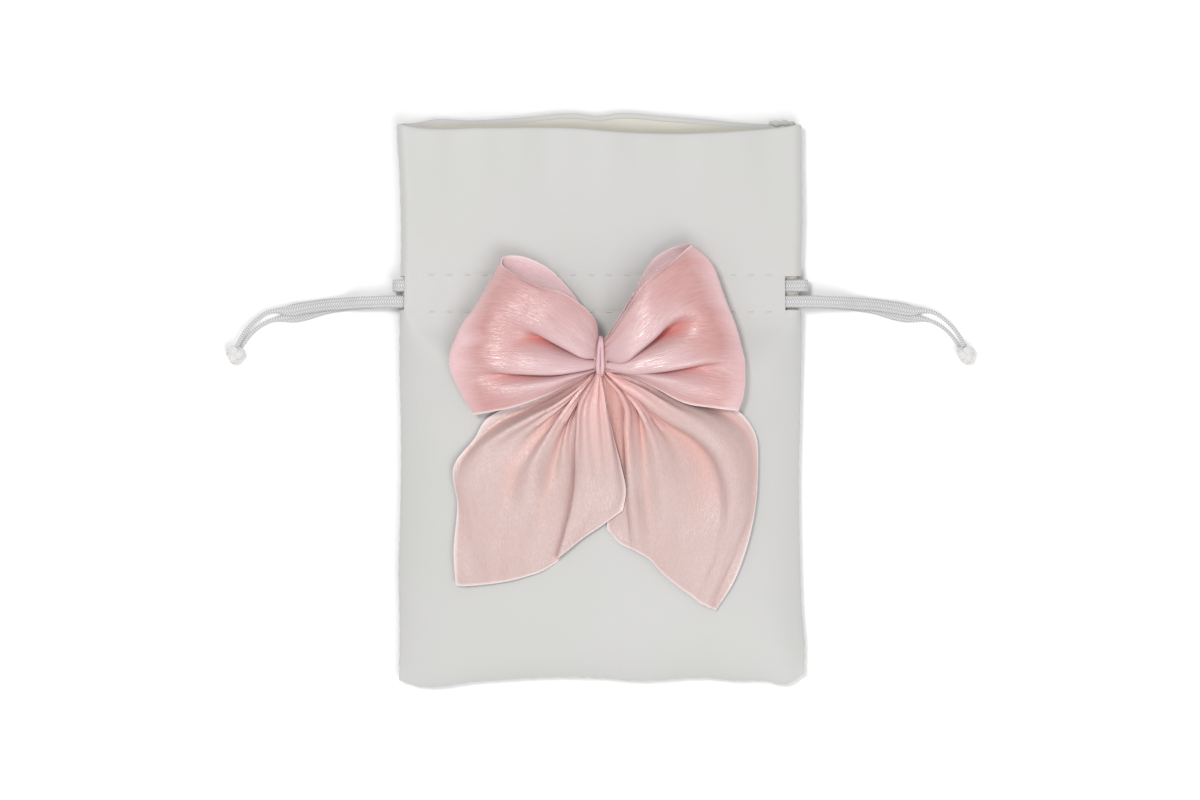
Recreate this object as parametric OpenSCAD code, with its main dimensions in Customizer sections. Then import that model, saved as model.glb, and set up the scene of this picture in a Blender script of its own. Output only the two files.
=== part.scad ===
// Satin drawstring gift pouch with a ribbon bow, lying flat on its back wall.
// X runs across the pouch, Y from its bottom to its mouth and Z up out of the
// front wall. The back wall rests on z = 0 and the origin is the middle of it.

/* [Pouch] */
// Width of the pouch lying flat
pouch_w = 100; // [80:1:120]
// Length from the bottom edge to the back wall's mouth edge
pouch_h = 140; // [115:1:180]
// Thickness of the empty pouch, from its back face to its front face
pouch_t = 10; // [9:0.5:14]
// Thickness of the satin
cloth_t = 0.4; // [0.3:0.05:0.5]
// How much lower the front wall's mouth edge is than the back wall's
front_drop = 2.5; // [0:0.5:5]
// Radius of the two bottom corners
corner_r = 4; // [2:0.5:8]
// Width of the seam allowances inside the pouch
seam_w = 3; // [2:0.5:3.5]

/* [Casing] */
// Length of the frill from the upper row of stitches to the mouth
frill_h = 38.4; // [25:0.2:50]
// Distance between the two rows of stitches
casing_h = 9.2; // [8.8:0.1:12]
// Satin between the lower row of stitches and the panels below it
casing_margin = 1.4; // [1:0.1:3]
// How far the turned-in facing reaches below the panels' top edges
facing_lap = 1; // [0.5:0.5:5]

/* [Stitching] */
// Distance from one casing stitch to the next
stitch_pitch = 4.4; // [3:0.1:6]
// Length of a casing stitch
stitch_len = 2.4; // [1.5:0.1:2.8]
// Width of a casing stitch
stitch_w = 0.5; // [0.3:0.1:0.8]
// How deep a casing stitch is pulled into the satin
stitch_sink = 0.2; // [0.1:0.05:0.25]
// How far a front stitch stands out of the satin
stitch_proud = 0.1; // [0.05:0.05:0.2]

/* [Drawstrings] */
// Width of the drawstring ribbon
cord_w = 3; // [2:0.1:3.2]
// Thickness of the drawstring ribbon
cord_t = 0.4; // [0.3:0.05:0.5]
// Thickness of a drawstring's loose tail
tail_t = 0.5; // [0.4:0.05:0.6]
// How far a drawstring's loop stands out of the pouch's side
loop_out = 1.6; // [0.5:0.1:2.5]
// Length over which a drawstring crosses from the lower to the upper lane
lane_change = 32; // [20:1:34]
// Diameter of the knot at the end of a drawstring
knot_d = 4.2; // [3.5:0.1:6]

/* [Bow] */
// Distance from the lower row of stitches down to the middle of the bow
bow_drop = 11; // [8:0.5:30]
// Length of the tie, along the pouch
tie_h = 9.6; // [8:0.2:12]
// Thickness of the tie, out of the pouch
tie_t = 6.4; // [5.5:0.1:8]
// Diameter of the tie's thread, which goes round twice
thread_d = 1.1; // [0.8:0.1:1.4]
// Half the width of the gathered ribbon inside the tie
gather_half = 3.2; // [2.5:0.1:4.5]
// Thickness of the bow's ribbon
ribbon_t = 0.4; // [0.3:0.05:0.5]
// How far a loop's front layer rises between the tie and the fold
loop_rise = 3.6; // [1:0.1:6]
// Radius of the fold at a loop's outer end
fold_r = 2.2; // [1:0.1:2.6]
// Height of the waves in the bow's tails
tail_wave = 0.9; // [0:0.1:1.2]
// Diameter of the thread that tacks the bow to the front wall
tack_d = 1.2; // [0.8:0.1:1.6]

/* [Fit] */
// Gap between layers that slide on each other
layer_gap = 0.2; // [0.15:0.05:0.3]
// Radial clearance of the tack in its hole
tack_gap = 0.1; // [0.05:0.01:0.1]
// Gap between the front wall and the bow
bow_gap = 0.5; // [0.3:0.1:1]
// Gap across a line where the bow flexes
flex_gap = 0.3; // [0.2:0.05:0.5]

/* [Hidden] */
$fn = 48;

satin = [0.86, 0.86, 0.84];
lining = [0.88, 0.85, 0.78];
cord_white = [0.93, 0.93, 0.93];
thread_white = [0.95, 0.95, 0.95];
pink = [0.87, 0.70, 0.68];
pale_pink = [0.87, 0.77, 0.75];
deep_pink = [0.83, 0.62, 0.58];

// Places along the pouch
back_mouth_y = pouch_h / 2;
front_mouth_y = back_mouth_y - front_drop;
bottom_y = -pouch_h / 2;
upper_row_y = back_mouth_y - frill_h;
lower_row_y = upper_row_y - casing_h;
panel_top_y = lower_row_y - casing_margin;
facing_low_y = panel_top_y - facing_lap;
tie_y = lower_row_y - bow_drop;

// Places across and through the pouch
mid_z = pouch_t / 2;
side_x = pouch_w / 2;
flat_x = side_x - pouch_t / 2;
facing_z = cloth_t + 3 * layer_gap + 2 * cord_t;

// Rows of casing stitches
stitch_count = floor((2 * flat_x - stitch_len) / stitch_pitch) + 1;

// Lanes of the two drawstrings inside the casing
lane_margin = 1.1;
low_lane_y = lower_row_y + lane_margin + cord_w / 2;
high_lane_y = upper_row_y - lane_margin - cord_w / 2;
lane_end_x = side_x - 4;
lane_start_x = lane_end_x - lane_change;
lane_steps = 12;

// Loose tails: distance out of the pouch's side, along the pouch, and height
front_tail_route = [[3, 0, 8.2], [6.5, -0.1, 6.2], [10, -0.2, 3.6], [14, -0.4, 1.6], [18.5, -0.7, 1],
    [23.5, -1.4, 1], [28, -2.2, 1], [31, -2.1, 1], [33.4, -2.7, 1], [36, -4.5, 1.1],
    [38.6, -7.3, 1.5], [40.6, -11.1, 2.4]];
back_tail_route = [[4, 0, 1], [8, -0.2, 0.5], [13, -0.6, 0.3], [18.5, -1.5, 0.3], [23.5, -3, 0.3],
    [28, -3.8, 0.3], [31.5, -4.4, 0.3], [34.5, -5.7, 0.3], [37, -7.7, 0.4], [40, -11.6, 0.9]];
knot_out = 41;
knot_down = 12.9;

// Heights in the bow
bow_z = pouch_t + bow_gap;
gather_z = bow_z + thread_d;
gather_t = tie_t - 2 * thread_d;
gather_h = tie_h - 2 * thread_d;
front_layer_z = gather_z + gather_t - ribbon_t;
back_layer_z = gather_z + 0.4 * gather_t;
loop_fold_z = back_layer_z + 1.4;
root_z = gather_z + ribbon_t;
tail_z = bow_z + tail_wave / 2 + ribbon_t;

// Line across the bow where its tails lift
tail_hinge_y = tie_y - 17.4;

// The bow's outlines, measured from the middle of the tie
left_fold = [[-30, -14], [-36.5, 0], [-22, 24]];
right_fold = [[34, -13], [35, 0], [21.5, 26]];
left_tail_outer = [[-29, -17.7], [-37, -30], [-36, -56]];
left_tail_inner = [[2.6, -17.7], [6, -32], [-12, -54]];
right_tail_outer = [[35.5, -17.7], [41, -32], [29.5, -61.5]];
right_tail_inner = [[5.2, -17.7], [9.5, -32], [2.5, -43]];

// Point at share u of a curve that passes near the middle of three points
function bend(p, u) = (1 - u) * (1 - u) * p[0] + 2 * u * (1 - u) * p[1] + u * u * p[2];
// The same three points, moved so that the curve passes through the middle one
function through(p) = [p[0], 2 * p[1] - (p[0] + p[2]) / 2, p[2]];
// Smooth step from 0 to 1
function ease(u) = let (c = max(0, min(1, u))) c * c * (3 - 2 * c);

// Solid between two planes across the pouch, from an outline in x and z
module along_y(low, high) {
    translate([0, high, 0]) rotate([90, 0, 0]) linear_extrude(high - low) children();
}

// Solid between two planes along the pouch, from an outline in y and z
module along_x(low, high) {
    translate([low, 0, 0]) rotate([90, 0, 90]) linear_extrude(high - low) children();
}

module box(low, high) {
    translate(low) cube(high - low);
}

// Outline with round ends: w wide and t high, resting on its lowest line
module flat_oval(w, t) {
    translate([-(w - t) / 2, 0]) square([w - t, t]);
    for (side = [-1, 1]) translate([side * (w - t) / 2, t / 2]) circle(d = t);
}

// The closed, filled shape of the pouch, smaller by inset on every side
module filled_pouch(inset) {
    w = pouch_w - 2 * inset;
    t = pouch_t - 2 * inset;
    low = bottom_y + inset;
    r = corner_r - inset;
    intersection() {
        along_y(low, back_mouth_y) translate([0, inset]) flat_oval(w, t);
        along_x(-side_x, side_x) translate([0, inset]) {
            translate([low + t / 2, t / 2]) circle(d = t);
            translate([low + t / 2, 0]) square([back_mouth_y - low - t / 2, t]);
        }
        linear_extrude(pouch_t) {
            translate([-w / 2, low + r]) square([w, back_mouth_y - low - r]);
            translate([-w / 2 + r, low]) square([w - 2 * r, r]);
            for (side = [-1, 1]) translate([side * (w / 2 - r), low + r]) circle(r);
        }
    }
}

// The satin of one wall between two lines across the pouch
module wall(front, low_y, high_y) {
    low_z = front ? mid_z : 0;
    intersection() {
        difference() {
            filled_pouch(0);
            filled_pouch(cloth_t);
        }
        box([-side_x, low_y, low_z], [side_x, high_y, low_z + mid_z]);
    }
}

// Turns a shape made for the back wall over to the front wall
module on_wall(front) {
    if (front) translate([0, 0, pouch_t]) mirror([0, 0, 1]) children();
    else children();
}

// One row of casing stitches on the back wall, standing out by proud
module stitch_row(y, proud) {
    first = -(stitch_count - 1) * stitch_pitch / 2;
    for (i = [0 : stitch_count - 1])
        translate([first + i * stitch_pitch - stitch_len / 2, y - stitch_w / 2, -proud])
            cube([stitch_len, stitch_w, stitch_sink + proud]);
}

// Part of a wall above the panels: the casing, open at both sides, and the frill
module header(front) {
    mouth_y = front ? front_mouth_y : back_mouth_y;
    difference() {
        wall(front, panel_top_y, mouth_y);
        for (side = [-1, 1])
            box([side > 0 ? flat_x : -side_x - 1, panel_top_y - 1, -1],
                [side > 0 ? side_x + 1 : -flat_x, upper_row_y, pouch_t + 1]);
        on_wall(front) for (y = [lower_row_y, upper_row_y]) stitch_row(y, 0);
    }
}

// The satin turned in at the mouth, which forms the inner side of the casing
module facing(front) {
    mouth_y = front ? front_mouth_y : back_mouth_y;
    edge_x = flat_x - layer_gap;
    on_wall(front) {
        box([-edge_x, facing_low_y, facing_z], [edge_x, mouth_y, facing_z + cloth_t]);
        box([-edge_x, mouth_y - cloth_t, cloth_t], [edge_x, mouth_y, facing_z]);
    }
}

// Seam allowance inside one side edge, against the walls or a gap away from them
module side_seam(side, low_y, high_y, gap) {
    outer_x = side_x - cloth_t - gap;
    intersection() {
        filled_pouch(cloth_t + gap);
        mirror([side > 0 ? 0 : 1, 0, 0])
            box([outer_x - seam_w, low_y, mid_z - cloth_t], [outer_x, high_y, mid_z + cloth_t]);
    }
}

// Height of the lane's middle at x, for a drawstring with its tails at the left
function lane_y(x) = low_lane_y + (high_lane_y - low_lane_y) * ease((x - lane_start_x) / lane_change);

// A drawstring inside the casing: the run along each wall and the loop at the end.
// Level 0 lies against the walls and level 1 inside it.
module held_cord(tail_side, level) {
    low_z = cloth_t + layer_gap + level * (cord_t + layer_gap);
    r = mid_z - low_z;
    loop_x = side_x + loop_out - r;
    turn = [for (i = [0 : lane_steps]) lane_start_x + i * lane_change / lane_steps];
    xs = concat([-side_x], turn, [loop_x]);
    lower_edge = [for (x = xs) [x, lane_y(x) - cord_w / 2]];
    upper_edge = [for (i = [len(xs) - 1 : -1 : 0]) [xs[i], lane_y(xs[i]) + cord_w / 2]];
    mirror([tail_side > 0 ? 1 : 0, 0, 0]) {
        for (z = [low_z, pouch_t - low_z - cord_t])
            translate([0, 0, z]) linear_extrude(cord_t) polygon(concat(lower_edge, upper_edge));
        along_y(high_lane_y - cord_w / 2, high_lane_y + cord_w / 2) intersection() {
            translate([loop_x, mid_z]) difference() {
                circle(r);
                circle(r - cord_t);
            }
            translate([loop_x, 0]) square([r, pouch_t]);
        }
    }
}

// Both triangles of a four-cornered face
function split_face(a, b, c, d) = [[a, b, c], [a, c, d]];

// Flat ribbon swept along a route as one tube with eight sides
module loose_ribbon(route, width, thickness) {
    sides = 8;
    last = len(route) - 1;
    function heading(i) = route[min(last, i + 1)] - route[max(0, i - 1)];
    function across(i) = let (a = cross([0, 0, 1], heading(i))) a / norm(a);
    function out(i) = let (n = cross(heading(i), across(i))) n / norm(n);
    points = [for (i = [0 : last], k = [0 : sides - 1])
        route[i] + across(i) * cos(360 * k / sides) * width / 2
            + out(i) * sin(360 * k / sides) * thickness / 2];
    skin = [for (i = [0 : last - 1], k = [0 : sides - 1])
        let (a = i * sides + k, b = i * sides + (k + 1) % sides)
        each split_face(a, a + sides, b + sides, b)];
    first_cap = [for (k = [0 : sides - 1]) k];
    last_cap = [for (k = [sides - 1 : -1 : 0]) last * sides + k];
    polyhedron(points, concat(skin, [first_cap, last_cap]));
}

// A drawstring's loose tail, from the casing's side opening to the knot
module cord_tail(side, start_z, route) {
    points = concat([[side * side_x, low_lane_y, start_z]],
        [for (p = route) [side * (side_x + p[0]), low_lane_y + p[1], p[2]]]);
    color(cord_white) loose_ribbon(points, cord_w, tail_t);
}

function held_z(level) = cloth_t + layer_gap + level * (cord_t + layer_gap) + cord_t / 2;

module cord_knot(side) {
    color(cord_white)
        translate([side * (side_x + knot_out), low_lane_y - knot_down, knot_d / 2]) sphere(d = knot_d);
}

// Ribbon of the given thickness on a grid of points
module sheet(grid, thickness) {
    rows = len(grid);
    cols = len(grid[0]);
    size = rows * cols;
    function at(i, j) = grid[max(0, min(rows - 1, i))][max(0, min(cols - 1, j))];
    function out(i, j) =
        let (n = cross(at(i + 1, j) - at(i - 1, j), at(i, j + 1) - at(i, j - 1))) n / norm(n);
    function id(i, j) = i * cols + j;
    upper = [for (i = [0 : rows - 1], j = [0 : cols - 1]) at(i, j) + out(i, j) * thickness / 2];
    lower = [for (i = [0 : rows - 1], j = [0 : cols - 1]) at(i, j) - out(i, j) * thickness / 2];
    broad = [for (i = [0 : rows - 2], j = [0 : cols - 2])
        let (a = id(i, j), b = id(i, j + 1), c = id(i + 1, j + 1), d = id(i + 1, j))
        each concat(split_face(a, b, c, d), split_face(size + d, size + c, size + b, size + a))];
    ends = [for (j = [0 : cols - 2])
        let (a = id(0, j), b = id(0, j + 1), c = id(rows - 1, j + 1), d = id(rows - 1, j))
        each concat(split_face(a, size + a, size + b, b), split_face(c, size + c, size + d, d))];
    edges = [for (i = [0 : rows - 2])
        let (a = id(i, 0), b = id(i + 1, 0), c = id(i + 1, cols - 1), d = id(i, cols - 1))
        each concat(split_face(a, b, size + b, size + a), split_face(c, d, size + d, size + c))];
    polyhedron(concat(upper, lower), concat(broad, ends, edges));
}

// One loop of the bow: out from the tie as the front layer, round the fold, and back
module bow_loop(side, fold) {
    along = 26;
    across = 8;
    start_x = side * (gather_half + flex_gap);
    grid = [for (i = [0 : along]) [for (j = [0 : across])
        let (
            turn = 360 * i / along,
            reach = (1 - cos(turn)) / 2,
            tie_point = [start_x, gather_h * 0.8 * (j / across - 0.5)],
            plan = tie_point + (bend(through(fold), j / across) - tie_point) * reach,
            start_z = turn <= 180 ? front_layer_z : back_layer_z,
            rise = turn <= 180 ? 4 * loop_rise * reach * (1 - reach) : 0,
            height = loop_fold_z + (start_z - loop_fold_z) * (1 - reach) + rise
                + fold_r * sin(turn) * reach * reach
        )
        [plan[0], tie_y + plan[1], height]]];
    color(pink) sheet(grid, ribbon_t);
}

// Top of one tail, from the gathered ribbon out to the line where the tail lifts
module tail_root(side, outer_x, inner_x) {
    along = 8;
    across = 8;
    start_x = side * gather_half;
    grid = [for (i = [0 : along]) [for (j = [0 : across])
        let (
            u = i / along,
            v = j / across,
            start = [start_x, gather_h * (0.45 - 0.9 * v)],
            end = [outer_x + (inner_x - outer_x) * v, tail_hinge_y - tie_y],
            // The outer edge leaves the tie sideways and the inner one leaves it downwards
            middle = [end[0] * 0.5 * (1 - v) + start[0] * 0.9 * v, end[1] * (0.3 + 0.15 * v)],
            plan = bend([start, middle, end], u)
        )
        [plan[0], tie_y + plan[1], root_z + (tail_z - root_z) * u]]];
    color(deep_pink) sheet(grid, ribbon_t);
}

// One tail below the line where it lifts, waving across its width
module bow_tail(outer, inner, waves) {
    along = 10;
    across = 12;
    grid = [for (i = [0 : along]) [for (j = [0 : across])
        let (
            u = i / along,
            v = j / across,
            plan = bend(outer, u) + (bend(inner, u) - bend(outer, u)) * v,
            wave = tail_wave * (sin(360 * waves * v + 70 * u) - 1) * ease(3 * u) / 2 + tail_wave
        )
        [plan[0], tie_y + plan[1], tail_z + wave * ease(3 * u)]]];
    color(pale_pink) sheet(grid, ribbon_t);
}

module front_panel() {
    color(satin) difference() {
        wall(true, bottom_y, panel_top_y);
        translate([0, tie_y, mid_z]) cylinder(r = tack_d / 2 + tack_gap, h = pouch_t);
    }
}

module back_panel() {
    color(satin) wall(false, bottom_y, panel_top_y);
}

module front_header() {
    color(satin) header(true);
}

module back_header() {
    color(satin) header(false);
}

module front_facing() {
    color(lining) facing(true);
}

module back_facing() {
    color(lining) facing(false);
}

module bottom_seam() {
    low_y = bottom_y + cloth_t;
    inner_x = side_x - cloth_t - seam_w;
    color(lining) intersection() {
        filled_pouch(cloth_t);
        box([-inner_x, low_y, mid_z - cloth_t], [inner_x, low_y + seam_w, mid_z + cloth_t]);
    }
}

module left_side_seam() {
    color(lining) side_seam(-1, bottom_y, panel_top_y, 0);
}

module right_side_seam() {
    color(lining) side_seam(1, bottom_y, panel_top_y, 0);
}

module left_mouth_seam() {
    color(lining) side_seam(-1, upper_row_y + layer_gap, front_mouth_y, layer_gap);
}

module right_mouth_seam() {
    color(lining) side_seam(1, upper_row_y + layer_gap, front_mouth_y, layer_gap);
}

module casing_stitches_front_upper() {
    color(thread_white) on_wall(true) stitch_row(upper_row_y, stitch_proud);
}

module casing_stitches_front_lower() {
    color(thread_white) on_wall(true) stitch_row(lower_row_y, stitch_proud);
}

module casing_stitches_back_upper() {
    color(thread_white) stitch_row(upper_row_y, 0);
}

module casing_stitches_back_lower() {
    color(thread_white) stitch_row(lower_row_y, 0);
}

module left_drawstring() {
    color(cord_white) held_cord(-1, 1);
}

module left_cord_front_tail() {
    cord_tail(-1, pouch_t - held_z(1), front_tail_route);
}

module left_cord_back_tail() {
    cord_tail(-1, held_z(1), back_tail_route);
}

module left_cord_knot() {
    cord_knot(-1);
}

module right_drawstring() {
    color(cord_white) held_cord(1, 0);
}

module right_cord_front_tail() {
    cord_tail(1, pouch_t - held_z(0), front_tail_route);
}

module right_cord_back_tail() {
    cord_tail(1, held_z(0), back_tail_route);
}

module right_cord_knot() {
    cord_knot(1);
}

// Thread through the front wall, with a stop knot on the inside
module bow_tack() {
    stop_t = 0.4;
    stop_z = pouch_t - cloth_t - layer_gap - stop_t;
    color(thread_white) translate([0, tie_y, stop_z]) {
        cylinder(d = tack_d, h = bow_z - stop_z);
        cylinder(d = 2.5 * tack_d, h = stop_t);
    }
}

// Thread round the middle of the bow: two turns side by side
module bow_tie() {
    color(deep_pink) along_x(-thread_d, thread_d) translate([tie_y, bow_z]) difference() {
        flat_oval(tie_h, tie_t);
        translate([0, thread_d]) flat_oval(gather_h, gather_t);
    }
}

// The bow's ribbons gathered inside the tie
module bow_gather() {
    color(deep_pink) along_x(-gather_half, gather_half)
        translate([tie_y, gather_z]) flat_oval(gather_h, gather_t);
}

module bow_left_loop() {
    bow_loop(-1, left_fold);
}

module bow_right_loop() {
    bow_loop(1, right_fold);
}

module bow_left_tail_root() {
    tail_root(-1, left_tail_outer[0][0], left_tail_inner[0][0]);
}

module bow_right_tail_root() {
    tail_root(1, right_tail_outer[0][0], right_tail_inner[0][0]);
}

module bow_left_tail() {
    bow_tail(left_tail_outer, left_tail_inner, 1.5);
}

module bow_right_tail() {
    bow_tail(right_tail_outer, right_tail_inner, -1.5);
}

front_panel();
back_panel();
front_header();
back_header();
front_facing();
back_facing();
bottom_seam();
left_side_seam();
right_side_seam();
left_mouth_seam();
right_mouth_seam();
casing_stitches_front_upper();
casing_stitches_front_lower();
casing_stitches_back_upper();
casing_stitches_back_lower();
left_drawstring();
left_cord_front_tail();
left_cord_back_tail();
left_cord_knot();
right_drawstring();
right_cord_front_tail();
right_cord_back_tail();
right_cord_knot();
bow_tack();
bow_tie();
bow_gather();
bow_left_loop();
bow_right_loop();
bow_left_tail_root();
bow_right_tail_root();
bow_left_tail();
bow_right_tail();
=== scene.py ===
import math

import bmesh
import bpy
import numpy as np
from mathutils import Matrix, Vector, noise


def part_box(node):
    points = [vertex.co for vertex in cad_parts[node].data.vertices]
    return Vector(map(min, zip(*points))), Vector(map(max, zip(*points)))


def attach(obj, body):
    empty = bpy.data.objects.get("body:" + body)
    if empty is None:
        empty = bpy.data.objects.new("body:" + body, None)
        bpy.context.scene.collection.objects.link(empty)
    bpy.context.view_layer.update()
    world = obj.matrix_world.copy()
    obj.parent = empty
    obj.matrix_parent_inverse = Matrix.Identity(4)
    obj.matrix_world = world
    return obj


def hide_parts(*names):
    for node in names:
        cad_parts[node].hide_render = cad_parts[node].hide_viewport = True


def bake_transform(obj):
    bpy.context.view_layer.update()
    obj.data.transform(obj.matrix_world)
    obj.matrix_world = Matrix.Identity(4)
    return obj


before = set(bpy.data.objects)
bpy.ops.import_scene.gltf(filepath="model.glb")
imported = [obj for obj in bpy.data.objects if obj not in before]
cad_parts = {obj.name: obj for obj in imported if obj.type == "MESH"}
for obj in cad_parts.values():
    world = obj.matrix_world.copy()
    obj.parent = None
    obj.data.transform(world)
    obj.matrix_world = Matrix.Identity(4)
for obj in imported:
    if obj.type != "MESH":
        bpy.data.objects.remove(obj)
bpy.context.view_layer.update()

MM = 0.001


# ---------------------------------------------------------------- places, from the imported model
def box_mm(node):
    low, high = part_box(node)
    return np.array(low) / MM, np.array(high) / MM


body_low, body_high = box_mm("back_panel")
header_high = box_mm("back_header")[1]
front_high = box_mm("front_header")[1]
tie_low, tie_high = box_mm("bow_tie")
row_low_y = float(np.mean([c[1] for c in box_mm("casing_stitches_front_lower")]))
row_high_y = float(np.mean([c[1] for c in box_mm("casing_stitches_front_upper")]))
stitches_low, stitches_high = box_mm("casing_stitches_front_lower")
knot_low, knot_high = box_mm("right_cord_knot")
held_high = box_mm("left_drawstring")[1]

HALF_W = float(body_high[0])
BOTTOM_Y = float(body_low[1])
SPLIT_Y = float(body_high[1])
BACK_MOUTH_Y = float(header_high[1])
FRONT_MOUTH_Y = float(front_high[1])
TIE_Y = float(tie_low[1] + tie_high[1]) / 2

# The cloth's own heights, in millimetres above the table
CLOTH_T = 0.26
FACING_T = 0.2
SEAM_Z = 2.7
CASING_Z = 6.0
BODY_Z = 9.5
BACK_Z = 0.1

# Seam allowances and threads
SEAM_W = 2.6
SEAM_T = 0.5
OVERCAST_T = 0.26
STITCH_T = 0.34
TIE_STRAND = 1.02

# The drawstring ribbons
CORD_W = 3.0
CORD_T = 0.34
LOW_LANE_Y = float(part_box("left_cord_front_tail")[1][1]) / MM - CORD_W / 2
HIGH_LANE_Y = float(held_high[1]) - CORD_W / 2
LANE_END_X = HALF_W - 4
LANE_CHANGE = 32
BIGHT_X = 51.6


# ---------------------------------------------------------------- small tools
def ease(t):
    t = np.clip(t, 0.0, 1.0)
    return t * t * (3 - 2 * t)


def unit(v):
    return v / np.maximum(np.linalg.norm(v, axis=-1, keepdims=True), 1e-9)


def chord(points, power=0.5):
    steps = np.linalg.norm(np.diff(points, axis=0), axis=1) ** power
    return np.concatenate([[0.0], np.cumsum(np.maximum(steps, 1e-4))])


def curve(points, knots, at):
    """Smooth curve through the points at the knots, worked out at the places in at."""
    p, k, at = (np.asarray(x, float) for x in (points, knots, at))
    w = np.diff(k)
    slopes = np.diff(p, axis=0) / w[:, None]
    m = np.empty_like(p)
    m[0], m[-1] = slopes[0], slopes[-1]
    m[1:-1] = (slopes[:-1] * w[1:, None] + slopes[1:] * w[:-1, None]) / (w[1:] + w[:-1])[:, None]
    i = np.clip(np.searchsorted(k, at, side="right") - 1, 0, len(k) - 2)
    h = w[i][:, None]
    t = (at - k[i])[:, None] / h
    return (
        (1 + 2 * t) * (1 - t) ** 2 * p[i]
        + t * (1 - t) ** 2 * h * m[i]
        + t * t * (3 - 2 * t) * p[i + 1]
        + t * t * (t - 1) * h * m[i + 1]
    )


def evenly(points, count):
    """count points at equal steps along the smooth curve through the points."""
    points = np.asarray(points, float)
    knots = chord(points)
    dense = curve(points, knots, np.linspace(0, knots[-1], 40 * len(points)))
    length = chord(dense, 1.0)
    at = np.linspace(0, length[-1], count)
    return np.stack([np.interp(at, length, dense[:, c]) for c in range(dense.shape[1])], axis=1)


def value_along(pairs, at):
    """Smooth value through (place, value) pairs."""
    pairs = np.asarray(pairs, float)
    return curve(pairs[:, 1:2], pairs[:, 0], np.clip(at, pairs[0, 0], pairs[-1, 0]).ravel())[:, 0].reshape(
        np.shape(at)
    )


def grid_normals(grid):
    return unit(np.cross(np.gradient(grid, axis=0), np.gradient(grid, axis=1)))


def noise_at(places, seed):
    """Smooth noise from -1 to 1 at each place."""
    flat = np.asarray(places, float).reshape(-1, 3)
    out = np.array([noise.noise(Vector((x + seed, y - seed, z + 3 * seed))) for x, y, z in flat])
    return out.reshape(np.shape(places)[:-1])


def mesh_piece(name, verts, faces, material, cloth=None, fold=None):
    """A mesh object in metres from points in millimetres; it keeps each point's place on the cloth."""
    mesh = bpy.data.meshes.new(name)
    mesh.from_pydata((np.asarray(verts) * MM).tolist(), [], faces)
    mesh.update()
    if cloth is not None:
        layer = mesh.attributes.new("cloth", "FLOAT_VECTOR", "POINT")
        layer.data.foreach_set("vector", np.asarray(cloth, np.float32).ravel())
    if fold is not None:
        layer = mesh.attributes.new("fold", "FLOAT", "POINT")
        layer.data.foreach_set("value", np.asarray(fold, np.float32).ravel())
    obj = bpy.data.objects.new(name, mesh)
    bpy.context.scene.collection.objects.link(obj)
    mesh.materials.append(material)
    mesh.polygons.foreach_set("use_smooth", [True] * len(mesh.polygons))
    return obj


def grid_faces(rows, cols, keep=None):
    faces = []
    for i in range(rows - 1):
        for j in range(cols - 1):
            if keep is None or keep[i, j]:
                a = i * cols + j
                faces.append((a, a + cols, a + cols + 1, a + 1))
    return faces


def apply_modifiers(obj):
    bpy.context.view_layer.update()
    deps = bpy.context.evaluated_depsgraph_get()
    mesh = bpy.data.meshes.new_from_object(obj.evaluated_get(deps))
    obj.modifiers.clear()
    obj.data = mesh
    return obj


def sheet_piece(name, grid, thickness, material, cloth, keep=None, offset=0.0, fold=None):
    """Cloth of the given thickness on a grid of points."""
    rows, cols = grid.shape[:2]
    faces = grid_faces(rows, cols, keep)
    obj = mesh_piece(name, grid.reshape(-1, 3), faces, material, cloth.reshape(-1, 3), fold)
    solid = obj.modifiers.new("Thickness", "SOLIDIFY")
    solid.thickness = thickness * MM
    solid.offset = offset
    apply_modifiers(obj)
    drop_loose(obj)
    obj.data.set_sharp_from_angle(angle=math.radians(60))
    return obj


def drop_loose(obj):
    """Delete the points that no face uses."""
    mesh = obj.data
    used = np.zeros(len(mesh.vertices), bool)
    used[[v for p in mesh.polygons for v in p.vertices]] = True
    if used.all():
        return
    bm = bmesh.new()
    bm.from_mesh(mesh)
    bm.verts.ensure_lookup_table()
    bmesh.ops.delete(bm, geom=[v for v in bm.verts if not v.link_faces], context="VERTS")
    bm.to_mesh(mesh)
    bm.free()


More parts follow.
